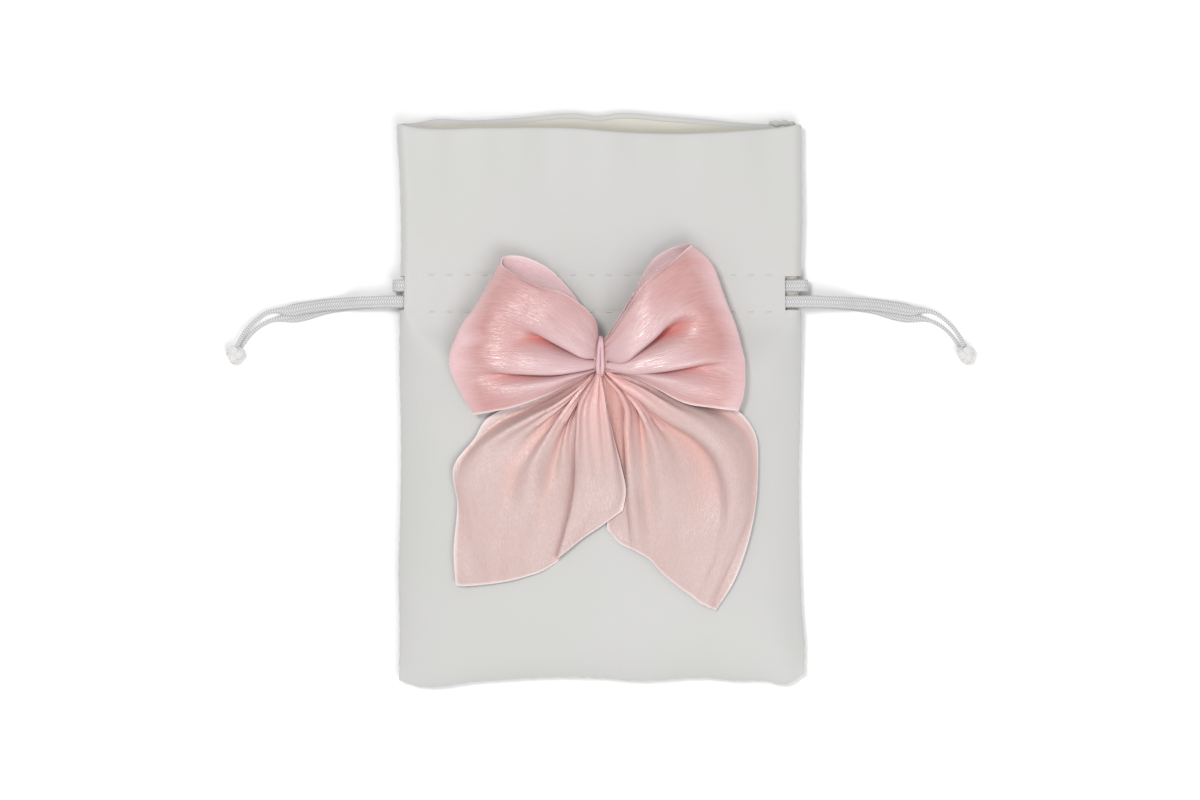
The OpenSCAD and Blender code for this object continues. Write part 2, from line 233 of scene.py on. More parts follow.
def tube_piece(name, route, width, height, material, sides=16, roll=None, up=(0, 0, 1), closed=False):
    """Rounded flat ribbon or thread swept along a route; roll turns its width about the route."""
    route = np.asarray(route, float)
    n = len(route)
    width, height = (np.broadcast_to(np.asarray(x, float), n) for x in (width, height))
    roll = np.broadcast_to(np.asarray(0.0 if roll is None else roll, float), n)
    if closed:
        heading = unit(np.roll(route, -1, axis=0) - np.roll(route, 1, axis=0))
    else:
        heading = unit(np.gradient(route, axis=0))
    ups = np.broadcast_to(np.asarray(up, float), (n, 3))
    across = unit(np.cross(ups, heading))
    out = np.cross(heading, across)
    c, s = np.cos(roll)[:, None], np.sin(roll)[:, None]
    across, out = across * c + out * s, out * c - across * s
    angles = np.linspace(0, 2 * np.pi, sides, endpoint=False)
    ca = np.sign(np.cos(angles)) * np.abs(np.cos(angles)) ** 0.8
    sa = np.sign(np.sin(angles)) * np.abs(np.sin(angles)) ** 0.8
    rings = (
        route[:, None, :]
        + across[:, None, :] * (ca[None, :, None] * width[:, None, None] / 2)
        + out[:, None, :] * (sa[None, :, None] * height[:, None, None] / 2)
    )
    length = chord(route, 1.0)
    cloth = np.zeros((n, sides, 3))
    cloth[:, :, 0] = length[:, None]
    cloth[:, :, 1] = ca[None, :] * width[:, None] / 2
    cloth[:, :, 2] = sa[None, :]
    faces = []
    for i in range(n if closed else n - 1):
        for k in range(sides):
            a, b = i * sides + k, i * sides + (k + 1) % sides
            up_a, up_b = (a + sides) % (n * sides), (b + sides) % (n * sides)
            faces.append((a, b, up_b, up_a))
    if not closed:
        faces.append(tuple(reversed(range(sides))))
        faces.append(tuple((n - 1) * sides + k for k in range(sides)))
    return mesh_piece(name, rings.reshape(-1, 3), faces, material, cloth.reshape(-1, 3))


def join(name, parts):
    """One object from several, with the first one's materials."""
    bpy.ops.object.select_all(action="DESELECT")
    for p in parts:
        p.select_set(True)
    bpy.context.view_layer.objects.active = parts[0]
    bpy.ops.object.join()
    parts[0].name = name
    parts[0].data.name = name
    return parts[0]


# ---------------------------------------------------------------- materials
def new_material(name):
    mat = bpy.data.materials.new(name)
    mat.use_nodes = True
    nodes, links = mat.node_tree.nodes, mat.node_tree.links
    return mat, nodes, links, nodes["Principled BSDF"]


def add(nodes, kind, **values):
    node = nodes.new(kind)
    for key, value in values.items():
        if key in node.inputs.keys():
            node.inputs[key].default_value = value
        else:
            setattr(node, key, value)
    return node


def stretched(nodes, links, scale, source="cloth"):
    """The place on the cloth, or on the object, with each direction scaled."""
    if source == "cloth":
        place = add(nodes, "ShaderNodeAttribute", attribute_name="cloth").outputs["Vector"]
    else:
        place = add(nodes, "ShaderNodeTexCoord").outputs["Object"]
    mapping = add(nodes, "ShaderNodeMapping")
    mapping.inputs["Scale"].default_value = scale
    links.new(place, mapping.inputs["Vector"])
    return mapping.outputs["Vector"]


def ramp(nodes, links, source, stops):
    node = nodes.new("ShaderNodeValToRGB")
    links.new(source, node.inputs["Fac"])
    elements = node.color_ramp.elements
    for element, (place, colour) in zip(elements, (stops[0], stops[-1])):
        element.position, element.color = place, (*colour, 1)
    for place, colour in stops[1:-1]:
        elements.new(place).color = (*colour, 1)
    return node.outputs["Color"]


def maths(nodes, links, operation, first, second=None):
    """The result of one sum on a value, with a second value or a plain number."""
    node = add(nodes, "ShaderNodeMath", operation=operation)
    links.new(first, node.inputs[0])
    if isinstance(second, float):
        node.inputs[1].default_value = second
    elif second is not None:
        links.new(second, node.inputs[1])
    return node.outputs[0]


def mapped(nodes, links, source, start, end):
    """source carried from start to end, each a pair of the source's value and the result."""
    node = nodes.new("ShaderNodeMapRange")
    node.inputs["From Min"].default_value, node.inputs["To Min"].default_value = start
    node.inputs["From Max"].default_value, node.inputs["To Max"].default_value = end
    links.new(source, node.inputs["Value"])
    return node.outputs["Result"]


def mixed(nodes, links, colour, amount, shade):
    """colour mixed towards shade by amount."""
    node = add(nodes, "ShaderNodeMixRGB", blend_type="MIX")
    links.new(amount, node.inputs["Fac"])
    links.new(colour, node.inputs["Color1"])
    node.inputs["Color2"].default_value = (*shade, 1)
    return node.outputs["Color"]


def bumped(nodes, links, height, strength, distance, under=None):
    """Normal bumped by height, on top of the normal under it."""
    node = add(nodes, "ShaderNodeBump", Strength=strength, Distance=distance)
    links.new(height, node.inputs["Height"])
    if under is not None:
        links.new(under, node.inputs["Normal"])
    return node.outputs["Normal"]


def cloth_noise_node(nodes, links, scale, detail, roughness=0.5):
    """Noise over the cloth, stretched by scale, in turns for each millimetre."""
    node = add(nodes, "ShaderNodeTexNoise", Scale=1.0, Detail=detail, Roughness=roughness)
    links.new(stretched(nodes, links, scale), node.inputs["Vector"])
    return node.outputs["Fac"]


def cloth_parts(nodes, links, source):
    """The three separate values of a place."""
    parts = nodes.new("ShaderNodeSeparateXYZ")
    links.new(source, parts.inputs[0])
    return parts.outputs


def set_surface(bsdf, values):
    for key, value in values.items():
        bsdf.inputs[key].default_value = value


def weave_height(nodes, links, pitch_mm):
    """Threads over and under each other, one each pitch."""
    per_mm = math.pi / pitch_mm
    parts = cloth_parts(nodes, links, stretched(nodes, links, (per_mm, per_mm, per_mm)))
    along, across = (maths(nodes, links, "SINE", parts[axis]) for axis in ("X", "Y"))
    return maths(nodes, links, "MULTIPLY", along, across)


def satin_material(name, colour, tint, roughness, sheen):
    """Woven satin with faint slubs and a slow change of colour."""
    mat, nodes, links, bsdf = new_material(name)
    cloud = add(nodes, "ShaderNodeTexNoise", Scale=28.0, Detail=3.0)
    links.new(stretched(nodes, links, (1.0, 1.0, 1.0), "object"), cloud.inputs["Vector"])
    shade = ramp(nodes, links, cloud.outputs["Fac"], [(0.3, colour), (0.7, tint)])
    links.new(shade, bsdf.inputs["Base Color"])
    set_surface(bsdf, {"Roughness": roughness, "Sheen Weight": sheen, "Sheen Roughness": 0.4,
                       "Specular IOR Level": 0.35})
    threads = bumped(nodes, links, weave_height(nodes, links, 0.22), 0.16, 0.00004)
    slub = cloth_noise_node(nodes, links, (1 / 0.5, 1 / 9.0, 1.0), 2.0)
    links.new(bumped(nodes, links, slub, 0.10, 0.00015, threads), bsdf.inputs["Normal"])
    return mat


def pearl_material(name, deep, mid, light, fold_shade_colour, ridge, tie_painted_light, inside, float_mm, roughness, grain):
    """Shimmering ribbon: long streaks and a fine broken crepe along its length.

    Its colour turns lighter near the tie and on a loop's back layer, painted light where the ribbon lies
    in shade;
    warmer in the folds' valleys, painted shade; paler on their ridges, painted highlight; and paler along
    the ribbon's edges, partly the edge's pale fray and partly painted highlight."""
    mat, nodes, links, bsdf = new_material(name)
    streak = cloth_noise_node(nodes, links, (0.6 / float_mm, 1 / 0.6, 0.0), 5.0, 0.62)
    crepe = cloth_noise_node(nodes, links, (1 / float_mm, 1 / 0.20, 0.0), 1.5)
    patch = cloth_noise_node(nodes, links, (1 / 13.0, 1 / 6.0, 0.0), 2.0)
    blend = add(nodes, "ShaderNodeMixRGB", blend_type="MIX", Fac=0.4)
    links.new(streak, blend.inputs["Color1"])
    links.new(patch, blend.inputs["Color2"])
    colour = ramp(nodes, links, blend.outputs["Color"], [(0.3, deep), (0.5, mid), (0.72, light)])
    place = add(nodes, "ShaderNodeAttribute", attribute_name="cloth").outputs["Vector"]
    parts = cloth_parts(nodes, links, place)
    # Painted light: lighter and pinker near the tie, where the ribbon lies in shade
    tie_light_share = mapped(nodes, links, parts["X"], (5.0, 0.9), (26.0, 0.0))
    colour = mixed(nodes, links, colour, tie_light_share, tie_painted_light)
    # Painted light: a loop's back layer, which lies in shade, made lighter
    if inside is not None:
        back_layer_light_share = mapped(nodes, links, parts["X"], (30.0, 0.0), (36.0, 0.85))
        colour = mixed(nodes, links, colour, back_layer_light_share, inside)
    # Painted shade: warmer colour in the folds' valleys
    depth = add(nodes, "ShaderNodeAttribute", attribute_name="fold").outputs["Fac"]
    fold_shade_share = mapped(nodes, links, depth, (0.05, 0.0), (0.75, 0.85))
    colour = mixed(nodes, links, colour, fold_shade_share, fold_shade_colour)
    # Painted highlight: paler colour on the folds' ridges
    ridge_highlight_share = mapped(nodes, links, depth, (-0.75, 0.6), (-0.08, 0.0))
    colour = mixed(nodes, links, colour, ridge_highlight_share, ridge)
    # Paler along the ribbon's edges: partly the edge's pale fray, partly painted highlight
    edge_highlight_share = mapped(nodes, links, parts["Z"], (0.1, 0.75), (0.75, 0.0))
    links.new(mixed(nodes, links, colour, edge_highlight_share, EDGE_HIGHLIGHT_COLOUR), bsdf.inputs["Base Color"])
    rough = mapped(nodes, links, crepe, (0.3, roughness - 0.14), (0.7, roughness + 0.12))
    links.new(rough, bsdf.inputs["Roughness"])
    set_surface(bsdf, {"IOR": 1.58, "Specular IOR Level": 0.7, "Sheen Weight": 0.2,
                       "Sheen Roughness": 0.35, "Sheen Tint": (1.0, 0.9, 0.96, 1)})
    streaks = bumped(nodes, links, streak, 0.25, 0.0003)
    links.new(bumped(nodes, links, crepe, grain, 0.00025, streaks), bsdf.inputs["Normal"])
    return mat


def ribbon_material(name, colour, shade):
    """Narrow woven ribbon: ribs along its length, crossed by small slanting floats."""
    mat, nodes, links, bsdf = new_material(name)
    place = add(nodes, "ShaderNodeAttribute", attribute_name="cloth").outputs["Vector"]
    parts = cloth_parts(nodes, links, place)

    def times(source, factor):
        return maths(nodes, links, "MULTIPLY", source, factor)

    across = maths(nodes, links, "ABSOLUTE", parts["Y"])
    rib = maths(nodes, links, "SINE", times(across, 2 * math.pi / 0.75))
    turns = maths(nodes, links, "ADD", times(parts["X"], 2 * math.pi / 0.62),
                  times(across, 2 * math.pi / 1.1))
    slant = maths(nodes, links, "SINE", turns)
    height = maths(nodes, links, "ADD", times(rib, 0.35), times(slant, 0.65))
    links.new(ramp(nodes, links, height, [(0.0, shade), (0.55, colour)]), bsdf.inputs["Base Color"])
    set_surface(bsdf, {"Roughness": 0.38, "Sheen Weight": 0.25})
    links.new(bumped(nodes, links, height, 0.6, 0.00013), bsdf.inputs["Normal"])
    return mat


def strand_look(name, pattern, stops, roughness, strength, distance):
    """Thread whose pattern, made by a function of its nodes, gives both its shades and its relief."""
    mat, nodes, links, bsdf = new_material(name)
    height = pattern(nodes, links)
    links.new(ramp(nodes, links, height, stops), bsdf.inputs["Base Color"])
    set_surface(bsdf, {"Roughness": roughness, "Sheen Weight": 0.2})
    links.new(bumped(nodes, links, height, strength, distance), bsdf.inputs["Normal"])
    return mat


def thread_material(name, colour, shade, twist_mm):
    """Sewing thread, with its plies twisted round each other."""
    def plies(nodes, links):
        wave = add(nodes, "ShaderNodeTexWave", wave_type="BANDS", bands_direction="DIAGONAL", Scale=1.0)
        per = 0.3 / twist_mm
        links.new(stretched(nodes, links, (per, 2 * per, 0.0)), wave.inputs["Vector"])
        return wave.outputs["Fac"]

    return strand_look(name, plies, [(0.0, shade), (0.6, colour)], 0.5, 0.5, 0.0001)


def fibre_material(name, colour, shade):
    """Silky strand whose fibres run along it."""
    def fibres(nodes, links):
        return cloth_noise_node(nodes, links, (1 / 7.0, 1 / 0.22, 0.0), 2.0)

    return strand_look(name, fibres, [(0.35, shade), (0.6, colour)], 0.42, 0.4, 0.00015)


# Pale colour of the ribbon's edges: partly the edge's pale fray, partly painted highlight
EDGE_HIGHLIGHT_COLOUR = (0.86, 0.74, 0.74)
SATIN = satin_material("ivory_satin", (0.59, 0.588, 0.570), (0.61, 0.605, 0.595), 0.48, 0.2)
LINING = satin_material("cream_inside", (0.66, 0.63, 0.55), (0.69, 0.66, 0.59), 0.55, 0.2)
THREAD = thread_material("white_thread", (0.68, 0.68, 0.66), (0.58, 0.58, 0.56), 0.25)
CORD = ribbon_material("white_ribbon", (0.76, 0.76, 0.76), (0.50, 0.50, 0.51))
# Pink ribbons: deep, mid and light are the ribbon's own streaked tones; the fold and ridge colours are
# painted shade and painted highlight, and the tie and back-layer colours are painted light
LOOPS = pearl_material(
    "pink_pearl_ribbon", (0.575, 0.275, 0.26), (0.615, 0.33, 0.32), (0.67, 0.43, 0.43),
    fold_shade_colour=(0.64, 0.21, 0.19), ridge=(0.70, 0.48, 0.50), tie_painted_light=(0.66, 0.42, 0.42),
    inside=(0.88, 0.61, 0.63), float_mm=3.2, roughness=0.34, grain=0.4)
TAILS = pearl_material(
    "pale_pearl_ribbon", (0.59, 0.40, 0.375), (0.61, 0.435, 0.41), (0.635, 0.48, 0.475),
    fold_shade_colour=(0.74, 0.41, 0.36), ridge=(0.65, 0.51, 0.53), tie_painted_light=(0.84, 0.49, 0.47),
    inside=None, float_mm=1.1, roughness=0.38, grain=0.4)
KNOT = ribbon_material("white_ribbon_knot", (0.80, 0.79, 0.775), (0.75, 0.74, 0.73))
TIE = fibre_material("pink_thread", (0.80, 0.54, 0.57), (0.56, 0.31, 0.34))


# ---------------------------------------------------------------- camera, light and floor
cam_data = bpy.data.cameras.new("camera")
cam_data.lens = 100
cam_data.sensor_width = 36
cam_data.clip_start = 0.01
camera = bpy.data.objects.new("camera", cam_data)
bpy.context.scene.collection.objects.link(camera)
camera.location = (-0.0001, 0.0006, 0.832)
camera.rotation_euler = (0, 0, 0)
bpy.context.scene.camera = camera

bpy.context.scene.view_settings.view_transform = "Standard"

world = bpy.data.worlds.new("world")
world.use_nodes = True
world.node_tree.nodes["Background"].inputs["Color"].default_value = (1, 1, 1, 1)
world.node_tree.nodes["Background"].inputs["Strength"].default_value = 0.50
bpy.context.scene.world = world


def area_light(name, place, target, size, power, colour=(1, 1, 1)):
    data = bpy.data.lights.new(name, "AREA")
    data.shape = "DISK"
    data.size = size
    data.energy = power
    data.color = colour
    lamp = bpy.data.objects.new(name, data)
    bpy.context.scene.collection.objects.link(lamp)
    lamp.location = place
    lamp.rotation_euler = (Vector(target) - Vector(place)).to_track_quat("-Z", "Y").to_euler()
    return lamp


area_light("key", (-0.27, 0.24, 1.0), (0, 0, 0), 0.24, 4.1)
area_light("fill", (0.28, -0.5, 0.95), (0, 0, 0), 0.7, 4.4)

floor_data = bpy.data.meshes.new("floor")
floor_data.from_pydata([(-3, -3, 0), (3, -3, 0), (3, 3, 0), (-3, 3, 0)], [], [(0, 1, 2, 3)])
floor = bpy.data.objects.new("floor", floor_data)
floor.location.z = -0.0002
bpy.context.scene.collection.objects.link(floor)
floor_mat, *_, floor_bsdf = new_material("white_floor")
set_surface(floor_bsdf, {"Base Color": (0.97, 0.97, 0.97, 1), "Roughness": 0.9})
floor_data.materials.append(floor_mat)


# ---------------------------------------------------------------- drawstrings
# Routes as in the model: distance out of the pouch's side, along the pouch, and height
FRONT_TAIL = [
    (3, 0, 8.2), (6.5, -0.1, 6.2), (10, -0.2, 3.6), (14, -0.4, 1.6), (18.5, -0.7, 1), (23.5, -1.4, 1),
    (28, -2.2, 1), (31, -2.1, 1), (33.4, -2.7, 1), (36, -4.5, 1.1), (38.6, -7.3, 1.5), (40.6, -11.1, 2.4)]
BACK_TAIL = [
    (4, 0, 1), (8, -0.2, 0.5), (13, -0.6, 0.3), (18.5, -1.5, 0.3), (23.5, -3, 0.3), (28, -3.8, 0.3),
    (31.5, -4.4, 0.3), (34.5, -5.7, 0.3), (37, -7.7, 0.4), (40, -11.6, 0.9)]
# Heights of the two drawstrings in the casing: left one inside, right one against the walls
HELD_Z = {"left": (4.75, 1.10), "right": (5.20, 0.60)}
SIDE = {"left": -1, "right": 1}


def lane_y(x):
    """Middle of a drawstring in the casing, for the one whose tails leave at the left."""
    start = LANE_END_X - LANE_CHANGE
    return LOW_LANE_Y + (HIGH_LANE_Y - LOW_LANE_Y) * ease((x - start) / LANE_CHANGE)


def loose_route(side, start_z, points):
    """A tail's route in millimetres, no higher than where it leaves the casing."""
    first = [(-6.0, 0, start_z), (-3.0, 0, start_z), (0.0, 0, start_z)]
    route = [
        (HALF_W + x, LOW_LANE_Y + y, min(z, max(start_z - 0.15 * min(x, 8), 0.3)))
        for x, y, z in points
    ]
    route = [(HALF_W + x, LOW_LANE_Y + y, z) for x, y, z in first] + route
    return np.array([(side * x, y, z) for x, y, z in route], float)


def drawstring(name):
    """One drawstring: the length held in the casing, its two loose tails and their knot."""
    side = SIDE[name]
    front_z, back_z = HELD_Z[name]
    radius = (front_z - back_z) / 2
    bight_x = BIGHT_X - radius
    xs = np.arange(-HALF_W + 6, bight_x, 1.0)
    front = [(x, lane_y(x), front_z) for x in xs]
    arc = [
        (bight_x + radius * math.sin(a), HIGH_LANE_Y, (front_z + back_z) / 2 + radius * math.cos(a))
        for a in np.linspace(0, math.pi, 15)
    ]
    back = [(x, lane_y(x), back_z) for x in reversed(xs)]
    route = np.array(front + arc + back, float)
    route[:, 0] *= -side
    heading = unit(np.gradient(route, axis=0))
    ups = np.cross(heading, (0, 1.0, 0)) * (1 if side < 0 else -1)
    held = tube_piece(name + "_drawstring_ribbon", route, CORD_W, CORD_T, CORD, up=ups)
    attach(held, name + "_cord")
    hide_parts(name + "_drawstring")
    for part, points, start_z in (("front", FRONT_TAIL, front_z), ("back", BACK_TAIL, back_z)):
        route = evenly(loose_route(side, start_z, points), 90)
        out = np.abs(route[:, 0]) - HALF_W
        narrow = 1 - 0.72 * ease((out - 25.5) / 7.0)
        roll = side * (0.28 if part == "front" else -0.12) * np.sin(out / 4.2) * ease(out / 10.0)
        roll = roll * (1 - ease((out - 34) / 4.0))
        tail = tube_piece(
            f"{name}_{part}_tail_ribbon", route, CORD_W * narrow, CORD_T * (2.3 - 1.3 * narrow), CORD,
            roll=roll,
        )
        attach(tail, name + "_cord")
        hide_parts(f"{name}_cord_{part}_tail")
    knot = knot_piece(name, side)


def knot_piece(name, side):
    """Overhand knot of the ribbon's two ends, with their short cut ends."""
    centre = (knot_low + knot_high) / 2 * np.array([side, 1, 1])
    t = np.linspace(0, 2 * np.pi, 120, endpoint=False)
    trefoil = np.stack([np.sin(t) + 2 * np.sin(2 * t), np.cos(t) - 2 * np.cos(2 * t),
                        -1.2 * np.sin(3 * t)], axis=1)
    route = centre + trefoil * (0.42, 0.38, 0.5) * (side, 1, 1)
    parts = [tube_piece("wrap", route, 2.3, 1.7, KNOT, closed=True, sides=14)]
    for k, bend in enumerate((-0.5, 0.35)):
        end = np.array([(0, 0, 0), (0.3, -1.2, -0.4), (0.5 + bend, -2.2, -1.0 - 0.3 * k)]) * (side, 1, 1)
        parts.append(tube_piece("end", evenly(centre + end, 12), 1.3, 0.45, KNOT))
    knot = join(name + "_knot", parts)
    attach(knot, name + "_cord")
    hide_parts(name + "_cord_knot")
    return knot


for which in SIDE:
    drawstring(which)


# ---------------------------------------------------------------- the pouch's cloth
BODY_EDGE = 30.0
HEADER_EDGE = 2.4
# How near the side edge the cloth starts to turn round it, and how far the mouth's hem turns over
EDGE_TURN = 3.0
MOUTH_TURN = 1.2


def wobble_x(y, side):
    """How far the side edge wanders from straight."""
    left = [(-70, 0.2), (-58, 0.0), (-42, 0.3), (-28, -0.1), (-8, -0.3), (10, 0.1), (24, 0.0), (40, -0.3),
            (55, 0.1), (64, 0.7), (72, 1.0)]
    right = [(-70, 0.8), (-63, 0.9), (-52, 0.2), (-36, -0.3), (-18, -0.5), (0, -0.1), (16, 0.2), (32, 0.0),
             (46, 0.4), (60, 0.2), (72, 0.3)]
    return value_along(left if side < 0 else right, y)


def front_height(x, y):
    """Height of the front wall's outer face above the table."""
    into_body = ease((SPLIT_Y - y) / 14.0)
    width = HEADER_EDGE + (BODY_EDGE - HEADER_EDGE) * ease((SPLIT_Y + 2 - y) / 24.0)
    side = np.clip((HALF_W - np.abs(x)) / width, 0, 1)
    low = np.clip((y - BOTTOM_Y) / 30.0, 0, 1)
    top = CASING_Z + (BODY_Z - CASING_Z) * into_body
    fall = (1 - (1 - side) ** 2.2) ** (0.5 + 0.15 * into_body) * (1 - (1 - low) ** 2.2) ** 0.65
    return SEAM_Z + (top - SEAM_Z) * fall


def back_height(x, y):
    side = np.clip((HALF_W - np.abs(x)) / 7.0, 0, 1)
    low = np.clip((y - BOTTOM_Y) / 8.0, 0, 1)
    fall = np.sqrt(1 - (1 - side) ** 2) * np.sqrt(1 - (1 - low) ** 2)
    return SEAM_Z + (BACK_Z - SEAM_Z) * fall


def bottom_edge(x):
    """How far the bottom edge wanders from straight."""
    return value_along(
        [(-50, 0.9), (-46, -0.4), (-30, 0.6), (-12, 1.6), (0, 1.4), (9, 0.7), (27, 1.4), (33, 0.8),
         (40, 0.8), (45.5, -0.1), (50, 2.6)], x)


def front_edge(x):
    """Front mouth edge, measured from the model's."""
    return value_along(
        [(-50, 1.6), (-45, 0.6), (-30, 0.5), (-3, 0.2), (0, -0.1), (20, -0.9), (38, 0.0), (44, 0.6),
         (50, 1.6)], x)


def back_edge(x):
    """Back mouth edge, measured from the model's."""
    return value_along(
        [(-50, -0.5), (-46, -0.4), (-40, 0.6), (-34, 0.3), (-20, 1.0), (-6, 2.0), (0, 1.4), (4, 2.0),
         (16, 1.3), (27, 0.4), (37, -0.5), (44, -0.8), (50, -1.2)], x)


def across_columns():
    """Places round half a wall pair: from 0 in front, round the side edge at 1, to 0 behind (2)."""
    s = np.concatenate([np.linspace(0, 0.9, 46)[:-1], 0.9 + 0.1 * np.sin(np.linspace(0, np.pi / 2, 22))])
    return np.concatenate([s, 2 - s[:-1][::-1]])


def out_share(t):
    """How far out from the middle a column is, 1 at the side edge."""
    return np.where(t <= 1, t, 2 - t)


def turned_share(t):
    """1 on the flat of a wall, falling to 0 where the cloth turns round the side edge."""
    return np.minimum(1.0, HALF_W * (1 - out_share(t)) / EDGE_TURN)


def cloth_noise(x, y, front):
    """Soft unevenness of the satin."""
    z = np.where(front, 0.0, 7.0)
    places = np.stack([x / 24.0, y / 30.0, z], axis=-1)
    fine = np.stack([x / 9.0, y / 12.0, z + 3], axis=-1)
    return 0.30 * noise_at(places, 1.7) + 0.07 * noise_at(fine, 5.1)


def wall_point(t, y, side):
    """Outer face of the walls: t from 0 in front over the side edge at 1 to 2 behind."""
    front = t <= 1
    x = HALF_W * out_share(t)
    inset = np.abs(HALF_W - x)
    z = np.where(front, front_height(x, y), back_height(x, y))
    soft = cloth_noise(side * x, y, front)
    fade = ease(inset / 6.0) * ease((y - BOTTOM_Y) / 8.0)
    z = z + np.where(front, soft, 0) * fade
    pucker = 0.07 * np.sin(y * 2 * np.pi / 3.7 + 1.3 * np.sin(y / 5.0)) * np.exp(-inset / 2.2)
    seam = -0.10 * np.exp(-(((t - 1) / 0.006) ** 2))
    x = x + (wobble_x(y, side) + pucker) * ease(1 - inset / 22.0) + seam
    return np.stack([side * x, y, z], axis=-1)


def body_grid(side):
    """Both walls below the casing, tucked in at the top under the cloth above."""
    ts = across_columns()
    rows = np.concatenate([BOTTOM_Y + 8 * (1 - np.cos(np.linspace(0, np.pi / 2, 16)))[:-1],
                           np.linspace(BOTTOM_Y + 8, SPLIT_Y, 66), [SPLIT_Y + 0.5, SPLIT_Y + 1.0]])
    t, y = np.meshgrid(ts, rows)
    grid = wall_point(t, y, side)
    shift = bottom_edge(side * HALF_W * out_share(t)) * ease((BOTTOM_Y + 26 - y) / 26.0)
    grid[..., 1] += shift
    gather = 0.06 * np.sin(grid[..., 0] * 2 * np.pi / 4.1 + 1.1 * np.sin(grid[..., 0] / 6.0))
    grid[..., 1] += gather * np.exp(-(y - BOTTOM_Y) / 2.0)
    tuck = np.array([0.5, 1.0])[:, None] * (CLOTH_T + 0.02)
    turned = turned_share(ts)
    grid[-2:, :, 2] += np.where(ts <= 1, -tuck, tuck) * turned
    grid[-2:, :, 0] -= side * tuck * (1 - turned)
    cloth = np.stack([grid[..., 0] * 0 + side * HALF_W * t, y, np.zeros_like(y)], axis=-1)
    return grid, cloth


STITCH_COUNT = 20
STITCH_LEN = 2.4
STITCH_PITCH = float((stitches_high[0] - stitches_low[0] - STITCH_LEN) / (STITCH_COUNT - 1))
HEM = 0.30


def casing_relief(x, y):
    """Cloth drawn in by the two rows of stitches, and lifted over the drawstrings between them."""
    rows = np.exp(-(((y - row_low_y) / 0.7) ** 2)) + np.exp(-(((y - row_high_y) / 0.7) ** 2))
    phase = 2 * np.pi * (x - stitches_low[0] - STITCH_LEN / 2) / STITCH_PITCH
    between = np.exp(-(((y - (row_low_y + row_high_y) / 2) / 3.0) ** 2))
    ripple = 0.06 * np.sin(2 * np.pi * x / 5.3 + 0.8 * np.sin(x / 4.0)) * between
    return -(0.11 + 0.07 * np.cos(phase)) * rows + ripple + 0.06 * between


def frill_share(y):
    """0 at the casing, 1 at the mouth edge."""
    low = row_high_y + 4
    return ease((y - low) / (FRONT_MOUTH_Y - MOUTH_TURN - low))


def frill_wave(x, share):
    """Gentle waves of the cloth above the casing."""
    broad = 0.22 * np.sin(2 * np.pi * x / 27.0 + 0.9) * share
    return broad + 0.12 * np.sin(2 * np.pi * x / 11.0) * share**2


def mouth_edge(t, side):
    """Mouth edge round the side, from the front wall's to the back one's."""
    x = side * HALF_W * out_share(t)
    mix = ease((t - 0.96) / 0.08)
    return front_edge(x) * (1 - mix) + (BACK_MOUTH_Y - FRONT_MOUTH_Y + back_edge(x)) * mix


def header_wall(t, y, side, depth, straight=0.0):
    """The cloth above the pouch's body, as far inside its outer face as depth says.

    Where straight is 1 it keeps that depth up to the side edge instead of turning into it."""
    front = t <= 1
    inset = HALF_W * (1 - out_share(t))
    face = wall_point(t, y, side)
    share = frill_share(y)
    x = face[..., 0]
    flat = ease(inset / 5.0)
    turned = np.maximum(turned_share(t), straight)
    relief = casing_relief(x, y) * np.where(depth > 0.5, 0, 1) + frill_wave(x, share)
    face[..., 1] = y + mouth_edge(t, side) * share
    face[..., 2] += np.where(front, relief * flat, 0)
    face[..., 2] += np.where(front, -depth, depth) * turned
    face[..., 2] += np.where(front, 0, 1.2 * share**3) * flat
    face[..., 0] -= side * depth * (1 - turned)
    return face


def header_grid(side):
    """Outer cloth, over the mouth edge and a little way down inside."""
    ts = across_columns()
    rows = np.concatenate([np.linspace(SPLIT_Y, row_low_y + 1.5, 12)[:-1],
                           np.linspace(row_low_y + 1.5, row_high_y - 1.5, 8)[:-1],
                           np.linspace(row_high_y - 1.5, row_high_y + 1.5, 11)[:-1],
                           np.linspace(row_high_y + 1.5, FRONT_MOUTH_Y - MOUTH_TURN, 34)])
    t, y = np.meshgrid(ts, rows)
    parts = [header_wall(t, y, side, np.zeros_like(y))]
    turned = turned_share(ts)
    for a in np.linspace(0, np.pi, 9)[1:]:
        ring = parts[0][-1:].copy()
        depth = HEM * (1 - math.cos(a))
        ring[..., 1] += MOUTH_TURN * math.sin(a)
        ring[..., 2] += np.where(ts <= 1, -depth, depth) * turned
        ring[..., 0] -= side * depth * (1 - turned)
        parts.append(ring)
    inside = np.linspace(FRONT_MOUTH_Y - MOUTH_TURN, FRONT_MOUTH_Y - 3.0, 3)[1:]
    t_in, y_in = np.meshgrid(ts, inside)
    parts.append(header_wall(t_in, y_in, side, np.full_like(y_in, 2 * HEM)))
    grid = np.concatenate(parts)
    down = np.cumsum(np.linalg.norm(np.diff(grid[:, 0], axis=0), axis=1))
    down = np.concatenate([[0.0], down])
    cloth = np.stack(np.broadcast_arrays(side * HALF_W * ts[None, :], down[:, None], 0.0), axis=-1)
    # The casing's side openings: the outer cloth stops short of the edge there
    keep = np.ones((grid.shape[0] - 1, grid.shape[1] - 1), bool)
    reach = {-1: (0.975, 1.075), 1: (0.915, 1.12)}[side]
    mid_y = (rows[:-1] + rows[1:]) / 2
    mid_t = (ts[:-1] + ts[1:]) / 2
    open_y = (mid_y > row_low_y + 0.4) & (mid_y < row_high_y - 0.2)
    open_t = (mid_t > reach[0]) & (mid_t < reach[1])
    keep[: len(rows) - 1][np.ix_(open_y, open_t)] = False
    return grid, cloth, keep


